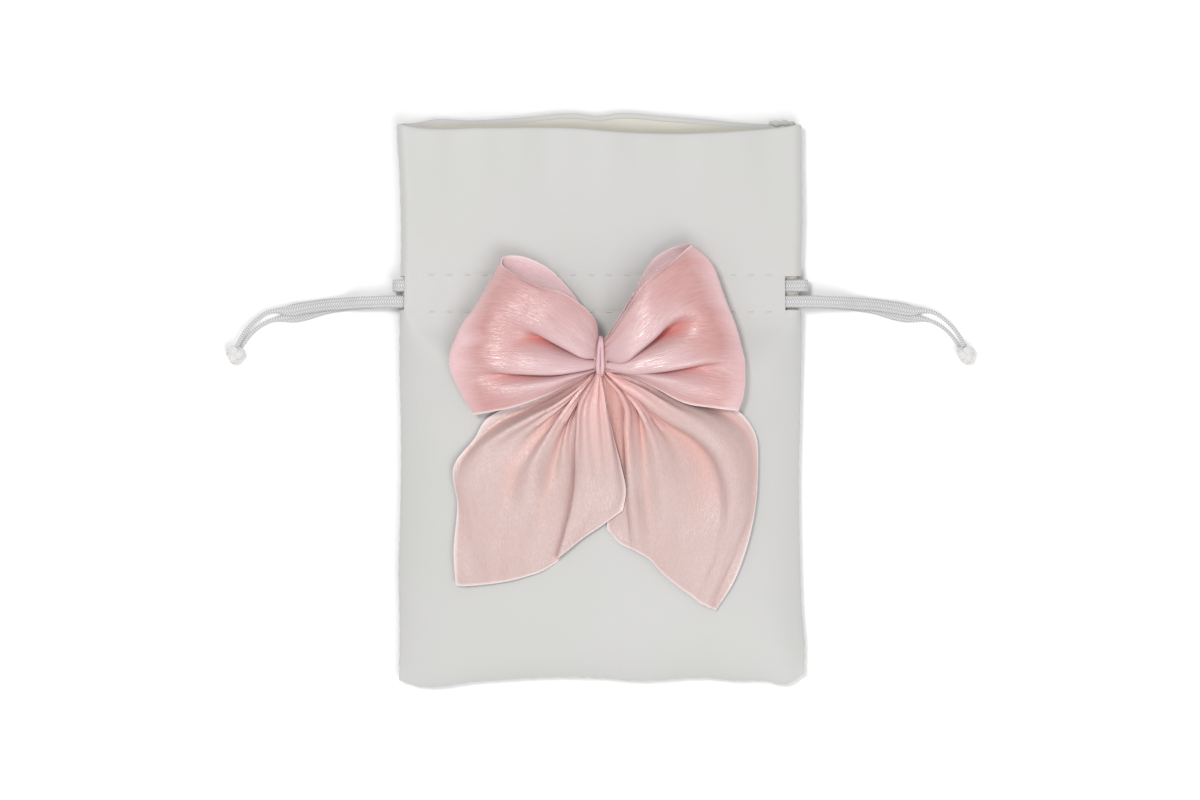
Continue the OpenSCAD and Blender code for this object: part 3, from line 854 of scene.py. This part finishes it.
def facing_grid(side):
    """Inner cloth from under the turned mouth edge down past the drawstrings."""
    ts = across_columns()
    rows = np.concatenate([np.linspace(FRONT_MOUTH_Y - 1.4, row_high_y + 2, 18),
                           np.linspace(row_high_y + 2, row_low_y - 2.4, 14)[1:]])
    t, y = np.meshgrid(ts, rows)
    casing = ease((row_high_y + 1.5 - y) / 2.5) * ease((y - row_low_y + 2.0) / 2.0)
    grid = header_wall(t, y, side, 2 * HEM + 0.3 + casing * 1.1, casing)
    cloth = np.stack([side * HALF_W * t, FRONT_MOUTH_Y - y, np.zeros_like(t)], axis=-1)
    keep = np.ones((grid.shape[0] - 1, grid.shape[1] - 1), bool)
    mid_y = (rows[:-1] + rows[1:]) / 2
    mid_t = (ts[:-1] + ts[1:]) / 2
    keep[np.ix_((mid_y < row_high_y + 1.0) & (mid_y > row_low_y - 1.0), np.abs(mid_t - 1) < 0.016)] = False
    return grid, cloth, keep


NAME_OF = {-1: "left", 1: "right"}


def drop_blend(obj):
    """Bake the piece's place into its points."""
    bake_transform(obj)


def gather_blend(obj):
    """Bake the piece's place into its points."""
    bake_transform(obj)


def facing_out(side, *grids):
    """Columns in the order that turns the cloth's outer face outwards."""
    return [g[:, ::-1] for g in grids] if side > 0 else list(grids)


def seam_piece(name, route, inward):
    """Two raw edges of satin overcast together with thread."""
    route = evenly(route, 70)
    length = chord(route, 1.0)
    steps = np.linspace(0, SEAM_W, 6)
    inward = np.asarray(inward, float)
    grid = route[:, None, :] + steps[None, :, None] * inward
    grid[..., 2] += 0.10 * np.sin(length[:, None] * 1.7) * (steps[None, :] / SEAM_W)
    cloth = np.stack(np.broadcast_arrays(length[:, None], steps[None, :], 0.0), axis=-1)
    strip = sheet_piece(name, grid, SEAM_T, LINING, cloth)
    places = np.arange(0.5, length[-1] - 0.5, 0.9)
    base = np.stack([np.interp(places, length, route[:, c]) for c in range(3)], axis=1)
    reach = np.where(np.arange(len(places)) % 2, SEAM_W + 0.15, SEAM_W - 1.5)
    rise = np.where(np.arange(len(places)) % 4 < 2, 0.34, -0.34)
    points = base + inward * reach[:, None] + np.stack([0 * rise, 0 * rise, rise], axis=1)
    overcast = evenly(points, 4 * len(points))
    thread = tube_piece(name + "_overcast", overcast, OVERCAST_T, OVERCAST_T, THREAD, sides=6)
    return strip, thread


for side in (-1, 1):
    name = NAME_OF[side]
    grid, cloth = facing_out(side, *body_grid(side))
    body = sheet_piece(f"satin_body_{name}", grid, CLOTH_T, SATIN, cloth, offset=-1)
    drop_blend(body)
    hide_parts("front_panel", "back_panel")

    grid, cloth, keep = facing_out(side, *header_grid(side))
    header = sheet_piece(f"satin_header_{name}", grid, CLOTH_T, SATIN, cloth, keep=keep, offset=-1)
    gather_blend(header)
    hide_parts("front_header", "back_header")

    grid, cloth, keep = facing_out(side, *facing_grid(side))
    facing = sheet_piece(f"satin_facing_{name}", grid, FACING_T, LINING, cloth, keep=keep)
    gather_blend(facing)
    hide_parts("front_facing", "back_facing")

    edge_x = side * (HALF_W - 0.9)
    route = [(edge_x, y, SEAM_Z) for y in np.linspace(BOTTOM_Y + 4, SPLIT_Y, 12)]
    for piece in seam_piece(f"side_seam_{name}", route, (-side, 0, 0)):
        drop_blend(piece)
        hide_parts(f"{name}_side_seam")
    route = [(edge_x, y, SEAM_Z) for y in np.linspace(row_high_y + 1.5, FRONT_MOUTH_Y - 5, 12)]
    for piece in seam_piece(f"mouth_seam_{name}", route, (-side, 0, 0)):
        gather_blend(piece)
        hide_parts(f"{name}_mouth_seam")

# The right seam's allowance ends in a small lumpy roll above the mouth edge
places = np.linspace(42.0, 48.4, 15)
lumps = 1.5 + 0.25 * np.sin(places * 2.9) + 0.15 * np.sin(places * 6.1)
lumps = lumps * np.sqrt(np.clip(1.06 - ((places - 45.2) / 3.3) ** 4, 0.15, 1))
roll_y = BACK_MOUTH_Y - 0.55 + 0.12 * np.sin(places * 2.1)
roll_route = np.stack([places, roll_y, 0 * places + 1.7], axis=1)
end_roll = tube_piece("mouth_seam_end", roll_route, lumps, lumps * 0.9, SATIN)
gather_blend(end_roll)
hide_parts("right_mouth_seam")

route = [(x, BOTTOM_Y + 2.6, SEAM_Z) for x in np.linspace(4 - HALF_W, HALF_W - 4, 20)]
for piece in seam_piece("bottom_seam_edges", route, (0, 1, 0)):
    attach(piece, "pouch")
    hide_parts("bottom_seam")


def stitch_row(node, row_y, back):
    """Running stitches of one casing row, in two halves, one for each side."""
    for side in (-1, 1):
        stitches = []
        for k in range(STITCH_COUNT):
            middle = stitches_low[0] + STITCH_LEN / 2 + k * STITCH_PITCH
            if (middle > 0) != (side > 0):
                continue
            t = np.linspace(-1, 1, 9)
            x = middle + t * STITCH_LEN * 0.36
            y = np.full_like(x, row_y)
            out = np.abs(x) / HALF_W
            place = header_wall(2 - out if back else out, y, side, np.zeros_like(x))
            z = place[:, 2] + (-1 if back else 1) * (0.10 - 0.22 * t**4)
            route = np.stack([side * np.abs(x), y, z], axis=1)
            size = STITCH_T * np.sqrt(1.02 - t**4)
            stitches.append(tube_piece("stitch", route, size, size * 0.7, THREAD, sides=8))
        row = join(f"{node}_{NAME_OF[side]}", stitches)
        gather_blend(row)
        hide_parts(node)


for wall in ("front", "back"):
    for level, row_y in (("upper", row_high_y), ("lower", row_low_y)):
        stitch_row(f"casing_stitches_{wall}_{level}", row_y, wall == "back")


# ---------------------------------------------------------------- bow
def surface_through(lines, between):
    """Grid through guide lines of matching points, with between steps from one to the next."""
    rows = []
    for points in np.swapaxes(lines, 0, 1):
        knots = chord(points)
        at = np.concatenate([np.linspace(knots[k], knots[k + 1], between, endpoint=False)
                             for k in range(len(points) - 1)] + [knots[-1:]])
        rows.append(curve(points, knots, at))
    return np.stack(rows)


def loft(guides, stations, between):
    """Ribbon surface through guide lines, each evenly divided along its length."""
    return surface_through(np.stack([evenly(g, stations) for g in guides]), between)


def loft_folded(guides, stations, between):
    """As loft, for a loop: each guide is (front points, fold point, back points)."""
    half = stations // 2
    lines = []
    for front, fold, back in guides:
        points = np.array(list(front) + [fold] + list(back), float)
        knots = chord(points)
        turn = knots[len(front)]
        dense_at = np.linspace(0, knots[-1], 600)
        dense = curve(points, knots, dense_at)
        length = chord(dense, 1.0)
        turn_length = float(np.interp(turn, dense_at, length))
        at = np.concatenate([np.linspace(0, turn_length, half, endpoint=False),
                             np.linspace(turn_length, length[-1], half + 1)])
        lines.append(np.stack([np.interp(at, length, dense[:, c]) for c in range(3)], axis=1))
    return surface_through(np.stack(lines), between)


def ribbon_places(grid, ribbon_w):
    """Place on the ribbon: along it from its start, and across its width."""
    steps = np.linalg.norm(np.diff(grid, axis=0), axis=-1)
    along = np.concatenate([np.zeros((1, grid.shape[1])), np.cumsum(steps, axis=0)])
    widest = int(np.argmax(np.linalg.norm(np.diff(grid, axis=1), axis=-1).sum(axis=1)))
    across = chord(grid[widest], 1.0)
    across = across / across[-1] * ribbon_w
    across = np.broadcast_to(across[None, :], along.shape)
    edge = np.minimum(across, ribbon_w - across)
    return along, across, edge


def fold_depth(grid, reach, from_tie):
    """How deep in a fold each place is, from -1 on a ridge to 1 in a valley."""
    z = grid[..., 2]
    padded = np.pad(z, ((0, 0), (reach, reach)), mode="edge")
    around = np.mean([padded[:, k:k + z.shape[1]] for k in range(2 * reach + 1)], axis=0)
    # Near the tie a shallower fold counts as deep, for stronger painted shade there
    full = 0.45 + 1.15 * ease(from_tie / 16.0)
    return np.clip((around - z) / full, -1, 1)


def crease(grid, along, across, seed, near, far, reach):
    """Fine wrinkles that run along the ribbon and die out away from the tie."""
    places = np.stack([along / 11.0, across / 1.3, np.zeros_like(along)], axis=-1)
    soft = np.stack([along / 9.0, across / 6.0, np.ones_like(along)], axis=-1)
    size = far + (near - far) * np.exp(-along / reach)
    lift = size * noise_at(places, seed) + 0.35 * noise_at(soft, seed + 9) * ease(along / 8.0)
    return grid + grid_normals(grid) * lift[..., None]


RIBBON_W = 40.0
RIBBON_T = 0.22
# Points along each guide line, and steps from one guide line to the next
LOOP_GRID = (120, 6)
TAIL_GRID = (94, 5)
# Directions, in degrees, that the bow is kept clear of the wall in
SWIVEL = (-12, -6, 0, 6, 12)

# Guide lines from the bottom edge of the ribbon to its top edge, measured from the middle of the tie
# across, along the pouch, and height above the front wall
LEFT_LOOP = [
    ([(-0.6, -3.4, 3), (-5.2, -5.4, 4.79), (-12.7, -9.3, 5.39), (-20, -12.2, 5.19), (-27, -13.8, 4.59)],
     (-31, -14.4, 3.42),
     [(-27, -13.4, 3), (-18, -10.2, 3), (-9, -5.6, 3), (-0.8, -2, 2.74)]),
    ([(-0.7, -3.2, 4.4), (-6, -4.9, 6.19), (-14, -6.9, 7), (-23, -8.6, 6.59), (-30.5, -9.3, 5.19)],
     (-34, -9.6, 3.62),
     [(-29, -8.8, 2.9), (-19, -6.4, 2.9), (-9, -3.4, 2.9), (-0.8, -1.4, 2.74)]),
    ([(-0.8, -3, 3), (-7, -3.1, 2.82), (-14, -3.5, 3.52), (-21, -3.9, 4.93), (-30, -5.2, 5.72)],
     (-35.9, -5.4, 3.7),
     [(-30, -4.8, 2.3), (-20, -3.4, 2.3), (-10, -1.8, 2.3), (-0.8, -0.9, 2.7)]),
    ([(-0.8, -2.7, 4.8), (-7, -4.2, 6.62), (-14, -4.6, 7.42), (-21, -4.4, 7.62), (-30, -2.7, 6.42)],
     (-36.9, -2.7, 3.62),
     [(-31, -2, 2.1), (-21, -1, 2.1), (-11, -0.4, 2.1), (-0.8, -0.5, 2.64)]),
    ([(-0.9, -1.6, 5), (-7, -1.1, 6.68), (-15, -0.2, 7.68), (-23, 0.6, 7.88), (-31, 0.8, 6.48)],
     (-36.9, 0.4, 3.48),
     [(-31, 1.4, 1.9), (-21, 1.6, 1.9), (-11, 1, 1.9), (-0.8, 0, 2.56)]),
    ([(-0.9, -1.1, 3.4), (-4.8, 1.2, 2.54), (-9.2, 3.9, 2.34), (-13.4, 5.2, 4.94), (-20, 4.6, 7.74),
      (-29, 4.4, 7.14)],
     (-36.1, 3.4, 3.34),
     [(-30, 5, 1.7), (-20, 4.8, 1.7), (-10, 3, 1.7), (-0.8, 0.6, 2.48)]),
    ([(-0.9, -0.6, 5.4), (-4.2, -0.5, 6.87), (-7.8, 1.2, 8.07), (-12.6, 3.8, 8.87), (-20, 7.8, 9.07),
      (-28.5, 9, 7.47)],
     (-34.2, 7.6, 3.32),
     [(-28, 8.8, 1.6), (-19, 8.4, 1.5), (-9, 5.4, 1.7), (-0.8, 1.4, 2.44)]),
    ([(-0.8, 1.2, 5.8), (-4, 3.6, 7.8), (-9, 7.6, 9.4), (-15.5, 11.4, 9.6), (-22, 14.2, 8.8),
      (-27.5, 14.8, 6.4)],
     (-30, 13.2, 3.4),
     [(-25, 14, 1.6), (-17, 13, 1.4), (-8, 9, 1.6), (-0.8, 2.4, 2.4)]),
    ([(-0.7, 2.8, 5.6), (-2.6, 6.4, 7.4), (-6.8, 11, 9), (-13.5, 14.8, 9.2), (-20.5, 18, 8),
      (-25.4, 19.2, 5.8)],
     (-27.4, 18, 3.6),
     [(-22.6, 20, 1.8), (-15.5, 18.4, 1.5), (-7.2, 12.6, 1.6), (-0.8, 3.2, 2.4)]),
    ([(-0.5, 4.2, 5), (-1, 8, 6.4), (-3.4, 11.4, 7.6), (-8.6, 15, 8.6), (-15.7, 17.2, 8.4),
      (-21.4, 20.2, 7), (-24.2, 22.6, 5.2)],
     (-23.8, 24.4, 3.8),
     [(-19.4, 24.6, 2.2), (-13, 21.8, 1.8), (-8, 17, 1.7), (-4.2, 11.6, 1.7), (-1.2, 4.4, 2.4)]),
]
RIGHT_LOOP = [
    ([(0.6, -3.6, 3), (7.4, -4.9, 4.79), (13.4, -7.8, 5.39), (20.9, -11.6, 5.19), (28, -12.7, 4.59)],
     (33.8, -13.4, 3.42),
     [(28, -12, 3), (19, -9.4, 3), (9, -5, 3), (0.8, -2, 2.74)]),
    ([(0.7, -3.4, 4.4), (7.5, -4.2, 6.19), (15, -5.6, 7), (23, -7.4, 6.79), (30.5, -8.4, 5.39)],
     (35.1, -8.6, 3.62),
     [(29, -8, 2.9), (19, -6.2, 2.9), (9, -3.2, 2.9), (0.8, -1.4, 2.74)]),
    ([(0.8, -3.3, 3), (8, -3.1, 3.3), (14, -2.8, 3.6), (21, -2.1, 5.1), (29.5, -2.6, 5.72)],
     (35.4, -3.4, 3.7),
     [(30, -3.4, 2.3), (20, -2.8, 2.3), (10, -1.6, 2.3), (0.8, -0.9, 2.7)]),
    ([(0.8, -2.9, 4.8), (8, -4.4, 6.6), (14, -3.8, 7.4), (21, -2.7, 7.6), (29.5, -0.9, 6.42)],
     (35.3, -0.8, 3.62),
     [(30, -0.4, 2.1), (20, 0, 2.1), (10, -0.2, 2.1), (0.8, -0.5, 2.64)]),
    ([(0.9, -1.9, 5), (7, -1.4, 6.48), (14, 0.8, 7.48), (22, 3, 7.88), (29.5, 3.6, 6.48)],
     (34.6, 2.8, 3.48),
     [(29, 3.2, 1.9), (20, 3, 1.9), (10, 1.4, 1.9), (0.8, 0, 2.56)]),
    ([(0.9, -1.4, 3.2), (4.6, 0.2, 2.7), (7.8, 3.2, 2.6), (12.4, 5.9, 3.2), (17.6, 7.4, 5.74),
      (24, 8.6, 7.74), (30, 8.4, 5.94)],
     (33.6, 6.8, 3.34),
     [(28, 7.6, 1.7), (19, 6.6, 1.7), (9, 3.4, 1.7), (0.8, 0.6, 2.48)]),
    ([(0.9, -0.9, 5.2), (5.4, -1.6, 6.9), (9.3, 1.0, 8.1), (13.5, 4.4, 8.9), (17.6, 8.8, 9.27),
      (23.5, 12.2, 8.47), (28.6, 13, 6.07)],
     (31.8, 11.4, 3.32),
     [(26.4, 12, 1.6), (17.6, 10.4, 1.5), (8, 5.6, 1.7), (0.8, 1.4, 2.44)]),
    ([(0.8, 1, 5.8), (4, 3, 7.8), (8.2, 7.4, 9.4), (13.2, 12, 9.8), (19, 16.2, 9), (25.6, 18, 6.4)],
     (29.6, 17, 3.4),
     [(24, 17.6, 1.6), (16, 15, 1.4), (7.4, 8.6, 1.6), (0.8, 2.4, 2.4)]),
    ([(0.7, 2.6, 5.6), (3.6, 6, 7.4), (7.6, 11.8, 9), (12.4, 17, 9.2), (18.2, 21.6, 8), (24.4, 23.4, 5.4)],
     (27.6, 22.4, 3.6),
     [(21.6, 22.6, 1.8), (13.8, 19.6, 1.5), (6.4, 11.6, 1.6), (0.8, 3.2, 2.4)]),
    ([(0.6, 3.9, 5), (3.9, 6.6, 6.6), (6.6, 11.4, 8), (10.2, 17, 8.8), (15.4, 21, 8.2), (20.2, 25.4, 6.2)],
     (22.2, 27.6, 4.2),
     [(18.4, 27, 2.6), (13.6, 24.4, 2), (10.4, 20, 1.8), (6, 12, 1.7), (1.2, 4.4, 2.4)]),
]
LEFT_TAIL = [
    [(-0.8, -2.4, 2.1), (-9, -6.4, 1), (-19, -11, 0.9), (-28.2, -15.6, 0.8), (-31, -20.2, 0.8),
     (-36.2, -27.4, 1), (-35.3, -37, 0.8), (-36.2, -48, 0.8), (-35.7, -56.4, 0.8)],
    [(-0.8, -2.9, 2.1), (-8.6, -8.3, 1.3), (-17, -12.8, 0.6), (-25.6, -17.2, 0.7), (-30.4, -21.4, 0.8),
     (-35, -27.9, 1.3), (-34.4, -38, 1), (-34.4, -56.7, 0.8)],
    [(-0.9, -3.3, 2.6), (-8.2, -9.6, 3.4), (-15.8, -14.2, 3.9), (-24, -18.7, 3.8), (-29.6, -22.8, 3.2),
     (-33.2, -28.6, 2.2), (-32.6, -39, 1.3), (-32, -56.6, 0.9)],
    [(-1, -3.5, 2.2), (-7.8, -10.4, 2.4), (-14.8, -15.8, 2.6), (-21.8, -21, 2.4), (-26.6, -26.4, 2),
     (-29.4, -34, 1.4), (-29.4, -56.4, 0.9)],
    [(-1, -3.7, 2.1), (-7.4, -11, 1.3), (-13.4, -17.6, 0.8), (-18.6, -24.2, 0.9), (-22.6, -32, 1),
     (-24.6, -42, 1), (-26, -56, 0.9)],
    [(-1.1, -4, 2.6), (-6.8, -11.4, 2.9), (-11.8, -18.6, 2.9), (-15.8, -26, 2.6), (-19, -36, 2),
     (-21.6, -55.2, 1.1)],
    [(-1.2, -4.2, 2.1), (-5.9, -11.4, 1.3), (-9.6, -19.6, 0.7), (-12.2, -28, 0.8), (-14.8, -39, 1),
     (-18.2, -54.3, 0.9)],
    [(-1.2, -4.4, 2.1), (-5.5, -11.6, 1.4), (-7.9, -20, 1.3), (-8.8, -29, 1.2), (-10.6, -40, 1),
     (-14.4, -53, 0.8)],
    [(-1.2, -4.6, 2.1), (-4.3, -11.8, 1.3), (-4.9, -20, 0.4), (-5, -29, 0.4), (-6.3, -38.6, 0.4),
     (-10.2, -50.3, 0.4)],
    [(-1.1, -4.8, 3.6), (-5.3, -12, 4.4), (-6.1, -20, 4.4), (-6.2, -29, 3.9), (-7.5, -38.5, 3.2),
     (-10.6, -49.9, 2)],
    [(-0.8, -4.9, 4.6), (-3.4, -12.2, 5.4), (-3.8, -20.6, 5.2), (-3.6, -29.6, 4.4), (-4.6, -38.2, 3.4),
     (-7.4, -47.3, 2)],
    [(-0.4, -4.9, 4.2), (-0.9, -12, 4.6), (-0.3, -20.8, 4.3), (0.4, -29.6, 3.6), (-0.2, -37, 2.7),
     (-3, -44, 1.6)],
    [(0, -4.8, 3.8), (0.6, -11.2, 4.4), (1.9, -20, 4.2), (3.2, -29, 3.4), (3.2, -35.4, 2.6),
     (0.6, -41.6, 1.6)],
    [(0.2, -4.4, 3), (1.3, -10.6, 3.2), (3.3, -19.4, 3), (5.1, -27, 2.4), (6.3, -33, 2),
     (5.6, -38, 1.4)],
]
RIGHT_TAIL = [
    [(0.2, -4.2, 2.1), (0.5, -10, 0.5), (1, -20, 0.4), (1.6, -31, 0.4), (1.6, -42.6, 0.7)],
    [(0.6, -4.6, 2.1), (2.4, -10.6, 1.3), (3.4, -19, 0.4), (4, -31, 0.5), (4.8, -46.2, 0.8)],
    [(1, -4.9, 2.1), (5, -9.6, 1.3), (6, -13, 0.6), (5.6, -19, 0.6), (5.8, -30, 0.8), (7.2, -47.4, 1)],
    [(1, -4.9, 3.6), (4.2, -8.9, 4.6), (5.9, -12.6, 4.6), (6, -19, 4), (6.3, -27, 2.6),
     (8.6, -48, 1.2)],
    [(1.1, -4.8, 3.8), (5, -8.8, 4.6), (7.4, -12.8, 4.4), (7.8, -19.6, 3.6), (8.2, -28, 2.4),
     (10.2, -48.9, 1.2)],
    [(1.2, -4.8, 2.1), (5.8, -9, 1.3), (8.8, -13.6, 0.9), (9.8, -20, 0.9), (10.4, -30, 1.1),
     (12.2, -50.2, 1)],
    [(1.3, -4.7, 2.8), (6.6, -9.2, 2.8), (10.6, -14.4, 2.8), (13.2, -21, 2.5), (14.8, -31, 1.9),
     (15.6, -53.8, 1.2)],
    [(1.4, -4.6, 2.1), (7.8, -9.9, 1.3), (13.2, -16, 0.8), (17.6, -22.4, 0.9), (20.2, -33, 1.2),
     (19.4, -57, 1.1)],
    [(1.5, -4.4, 2.1), (9.4, -10.6, 1.3), (16.2, -16.6, 0.5), (22.6, -20.6, 0.5), (28, -28, 0.8),
     (29.2, -41, 1.2), (23, -59.6, 1)],
    [(1.5, -4.2, 3.4), (9.2, -9.8, 4.4), (16.4, -15.4, 4.8), (23.4, -19.6, 4.6), (29.4, -26.4, 3.6),
     (31.2, -40, 2), (24.6, -60.9, 1)],
    [(1.6, -3.8, 3.8), (9.8, -7.9, 5), (18.2, -13.2, 5.4), (26.4, -18.4, 5), (32, -26, 3.8),
     (33.2, -40, 2.2), (26, -61.6, 1)],
    [(1.5, -3.2, 2.8), (10, -6.6, 3.2), (19.4, -11.4, 3.6), (28.6, -16, 3.6), (34.6, -23.2, 3),
     (35.6, -38, 1.8), (27.2, -62.2, 0.9)],
    [(1.3, -2.8, 2.1), (9.8, -5.6, 1.3), (20, -9.8, 0.8), (30.2, -14, 0.8), (36.4, -20.6, 0.9),
     (37.4, -36, 1), (28, -62.5, 0.8)],
    [(1.2, -2.4, 2.1), (9.8, -4.8, 1.3), (20.6, -8.4, 1.2), (32.4, -12.2, 1.2), (38, -18.6, 0.9),
     (38.9, -26, 0.9), (37.6, -41, 0.9), (33.4, -54.6, 0.9), (28.4, -62.8, 0.8)],
]


def on_front(points, follow):
    """Guide points in the model's millimetres, standing on the front wall as far as follow says."""
    points = np.array(points, float)
    x, y = points[:, 0], points[:, 1] + TIE_Y
    ground = BODY_Z + (front_height(x, y) - BODY_Z) * follow
    return [tuple(p) for p in np.stack([x, y, ground + points[:, 2]], axis=1)]


def clear_of_front(grid, gap):
    """Hold the ribbon off the front wall wherever the bow swivels to."""
    x, y = grid[..., 0], grid[..., 1] - TIE_Y
    ground = np.full(x.shape, -1.0)
    for turn in np.radians(SWIVEL):
        c, s = math.cos(turn), math.sin(turn)
        ground = np.maximum(ground, front_height(c * x - s * y, TIE_Y + s * x + c * y))
    over = grid[..., 2] - ground - gap
    held = grid.copy()
    held[..., 2] = ground + gap + 0.5 * (over + np.sqrt(over ** 2 + 0.06))
    return held


def loop_piece(name, guides, seed):
    """One loop, there and back from the tie."""
    placed = []
    for front, fold, back in guides:
        placed.append((on_front(front, 0.35), on_front([fold], 0.35)[0], on_front(back, 0.35)))
    grid = loft_folded(placed, *LOOP_GRID)
    along, across, edge = ribbon_places(grid, RIBBON_W)
    from_tie = np.minimum(along, along[-1:] - along)
    grid = clear_of_front(crease(grid, from_tie, across, seed, 0.20, 0.05, 9.0), 0.5)
    cloth = np.stack([along, across, edge], axis=-1)
    return sheet_piece(name, grid, RIBBON_T, LOOPS, cloth, fold=fold_depth(grid, 7, from_tie))


def tail_piece(name, guides, seed, recess):
    """One tail. Its inner edge gets painted shade as far across as recess says."""
    under_tie = [(g[0][0] * 0.5, g[0][1] * 0.6, g[0][2] + 0.3) for g in guides]
    grid = loft([on_front([start] + g, 0.45) for start, g in zip(under_tie, guides)], *TAIL_GRID)
    along, across, edge = ribbon_places(grid, RIBBON_W)
    edge = np.minimum(edge, along[-1:] - along)
    grid = crease(grid, along, across, seed, 0.34, 0.09, 18.0)
    fold = fold_depth(grid, 5, along)
    # Painted shade along the tail's inner edge near the tie, added to the fold depth
    inner_edge_shade_share = (1 - ease((across - recess) / 4.0)) * (1 - ease((along - 20) / 14.0))
    fold = np.maximum(fold, 0.8 * inner_edge_shade_share)
    pleats = 0.5 * np.sin(across * 2 * np.pi / 3.4 + 0.6 * np.sin(along / 9.0))
    pleats = pleats * np.exp(-((along - 10) / 14.0) ** 2) * ease((along - 1.5) / 5.0)
    grid = clear_of_front(grid + grid_normals(grid) * pleats[..., None], 0.32)
    cloth = np.stack([along, across, edge], axis=-1)
    return sheet_piece(name, grid, RIBBON_T, TAILS, cloth, fold=fold)


for side, guides, seed in ((-1, LEFT_LOOP, 2.3), (1, RIGHT_LOOP, 4.9)):
    name = NAME_OF[side]
    loop = loop_piece(f"bow_{name}_loop_ribbon", guides, seed)
    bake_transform(loop)
    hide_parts(f"bow_{name}_loop")

for side, guides, seed, recess in ((-1, LEFT_TAIL, 6.1, -9), (1, RIGHT_TAIL, 8.7, 6.0)):
    name = NAME_OF[side]
    tail = tail_piece(f"bow_{name}_tail_ribbon", guides, seed, recess)
    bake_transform(tail)
    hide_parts(f"bow_{name}_tail", f"bow_{name}_tail_root")


# ---------------------------------------------------------------- tie, gathered middle and tack
def tie_piece():
    """Two turns of thread round the gathered ribbon, crossing at its edges."""
    middle_z = (tie_low[2] + tie_high[2]) / 2 - 0.4
    half_y = (tie_high[1] - tie_low[1]) / 2 - 0.5
    half_z = (tie_high[2] - tie_low[2]) / 2 - 0.3
    t = np.linspace(0, 2 * np.pi, 96, endpoint=False)
    parts = []
    for shift, lean, swell in ((-0.46, 0.30, 0.0), (0.46, -0.12, 0.28)):
        x = shift * (1 - 0.75 * np.cos(t) ** 4) + lean * np.cos(t)
        rise = half_z + swell * (1 - np.abs(np.sin(t))) * 0.8
        y = TIE_Y + (half_y + swell * 0.5) * np.cos(t)
        route = np.stack([x, y, middle_z + rise * np.sin(t)], axis=1)
        parts.append(tube_piece("turn", route, TIE_STRAND, TIE_STRAND, TIE, closed=True,
                                up=(1, 0, 0)))
    tie = join("bow_tie_thread", parts)
    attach(tie, "bow")
    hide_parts("bow_tie")


def gather_piece():
    """Pleats of the ribbon inside the tie."""
    low, high = box_mm("bow_gather")
    ts = np.linspace(0, 2 * np.pi, 96, endpoint=False)
    xs = np.linspace(low[0] * 0.5, high[0] * 0.5, 15)
    half_y = (high[1] - low[1]) / 2
    half_z = (high[2] - low[2]) / 2 - 0.2
    middle_z = (low[2] + high[2]) / 2 - 0.4
    rings = []
    for x in xs:
        swell = 1 - 0.10 * math.exp(-(x / 1.6) ** 2)
        pleat = 1 + 0.08 * np.cos(ts * 11 + 0.25 * x) - 0.05 * np.cos(ts * 5)
        rings.append(np.stack([np.full_like(ts, x), TIE_Y + half_y * swell * pleat * np.cos(ts),
                               middle_z + half_z * swell * pleat * np.sin(ts)], axis=1))
    rings = np.stack(rings)
    n, m = rings.shape[:2]
    faces = [(i * m + j, i * m + (j + 1) % m, (i + 1) * m + (j + 1) % m, (i + 1) * m + j)
             for i in range(n - 1) for j in range(m)]
    faces += [tuple(reversed(range(m))), tuple((n - 1) * m + j for j in range(m))]
    cloth = np.stack(np.broadcast_arrays(xs[:, None], ts[None, :] * 6.0, 5.0), axis=-1)
    core = mesh_piece("bow_gathered_pleats", rings.reshape(-1, 3), faces, LOOPS,
                      cloth.reshape(-1, 3))
    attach(core, "bow")
    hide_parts("bow_gather")


tie_piece()
gather_piece()
for material_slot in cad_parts["bow_tack"].material_slots:
    material_slot.material = THREAD
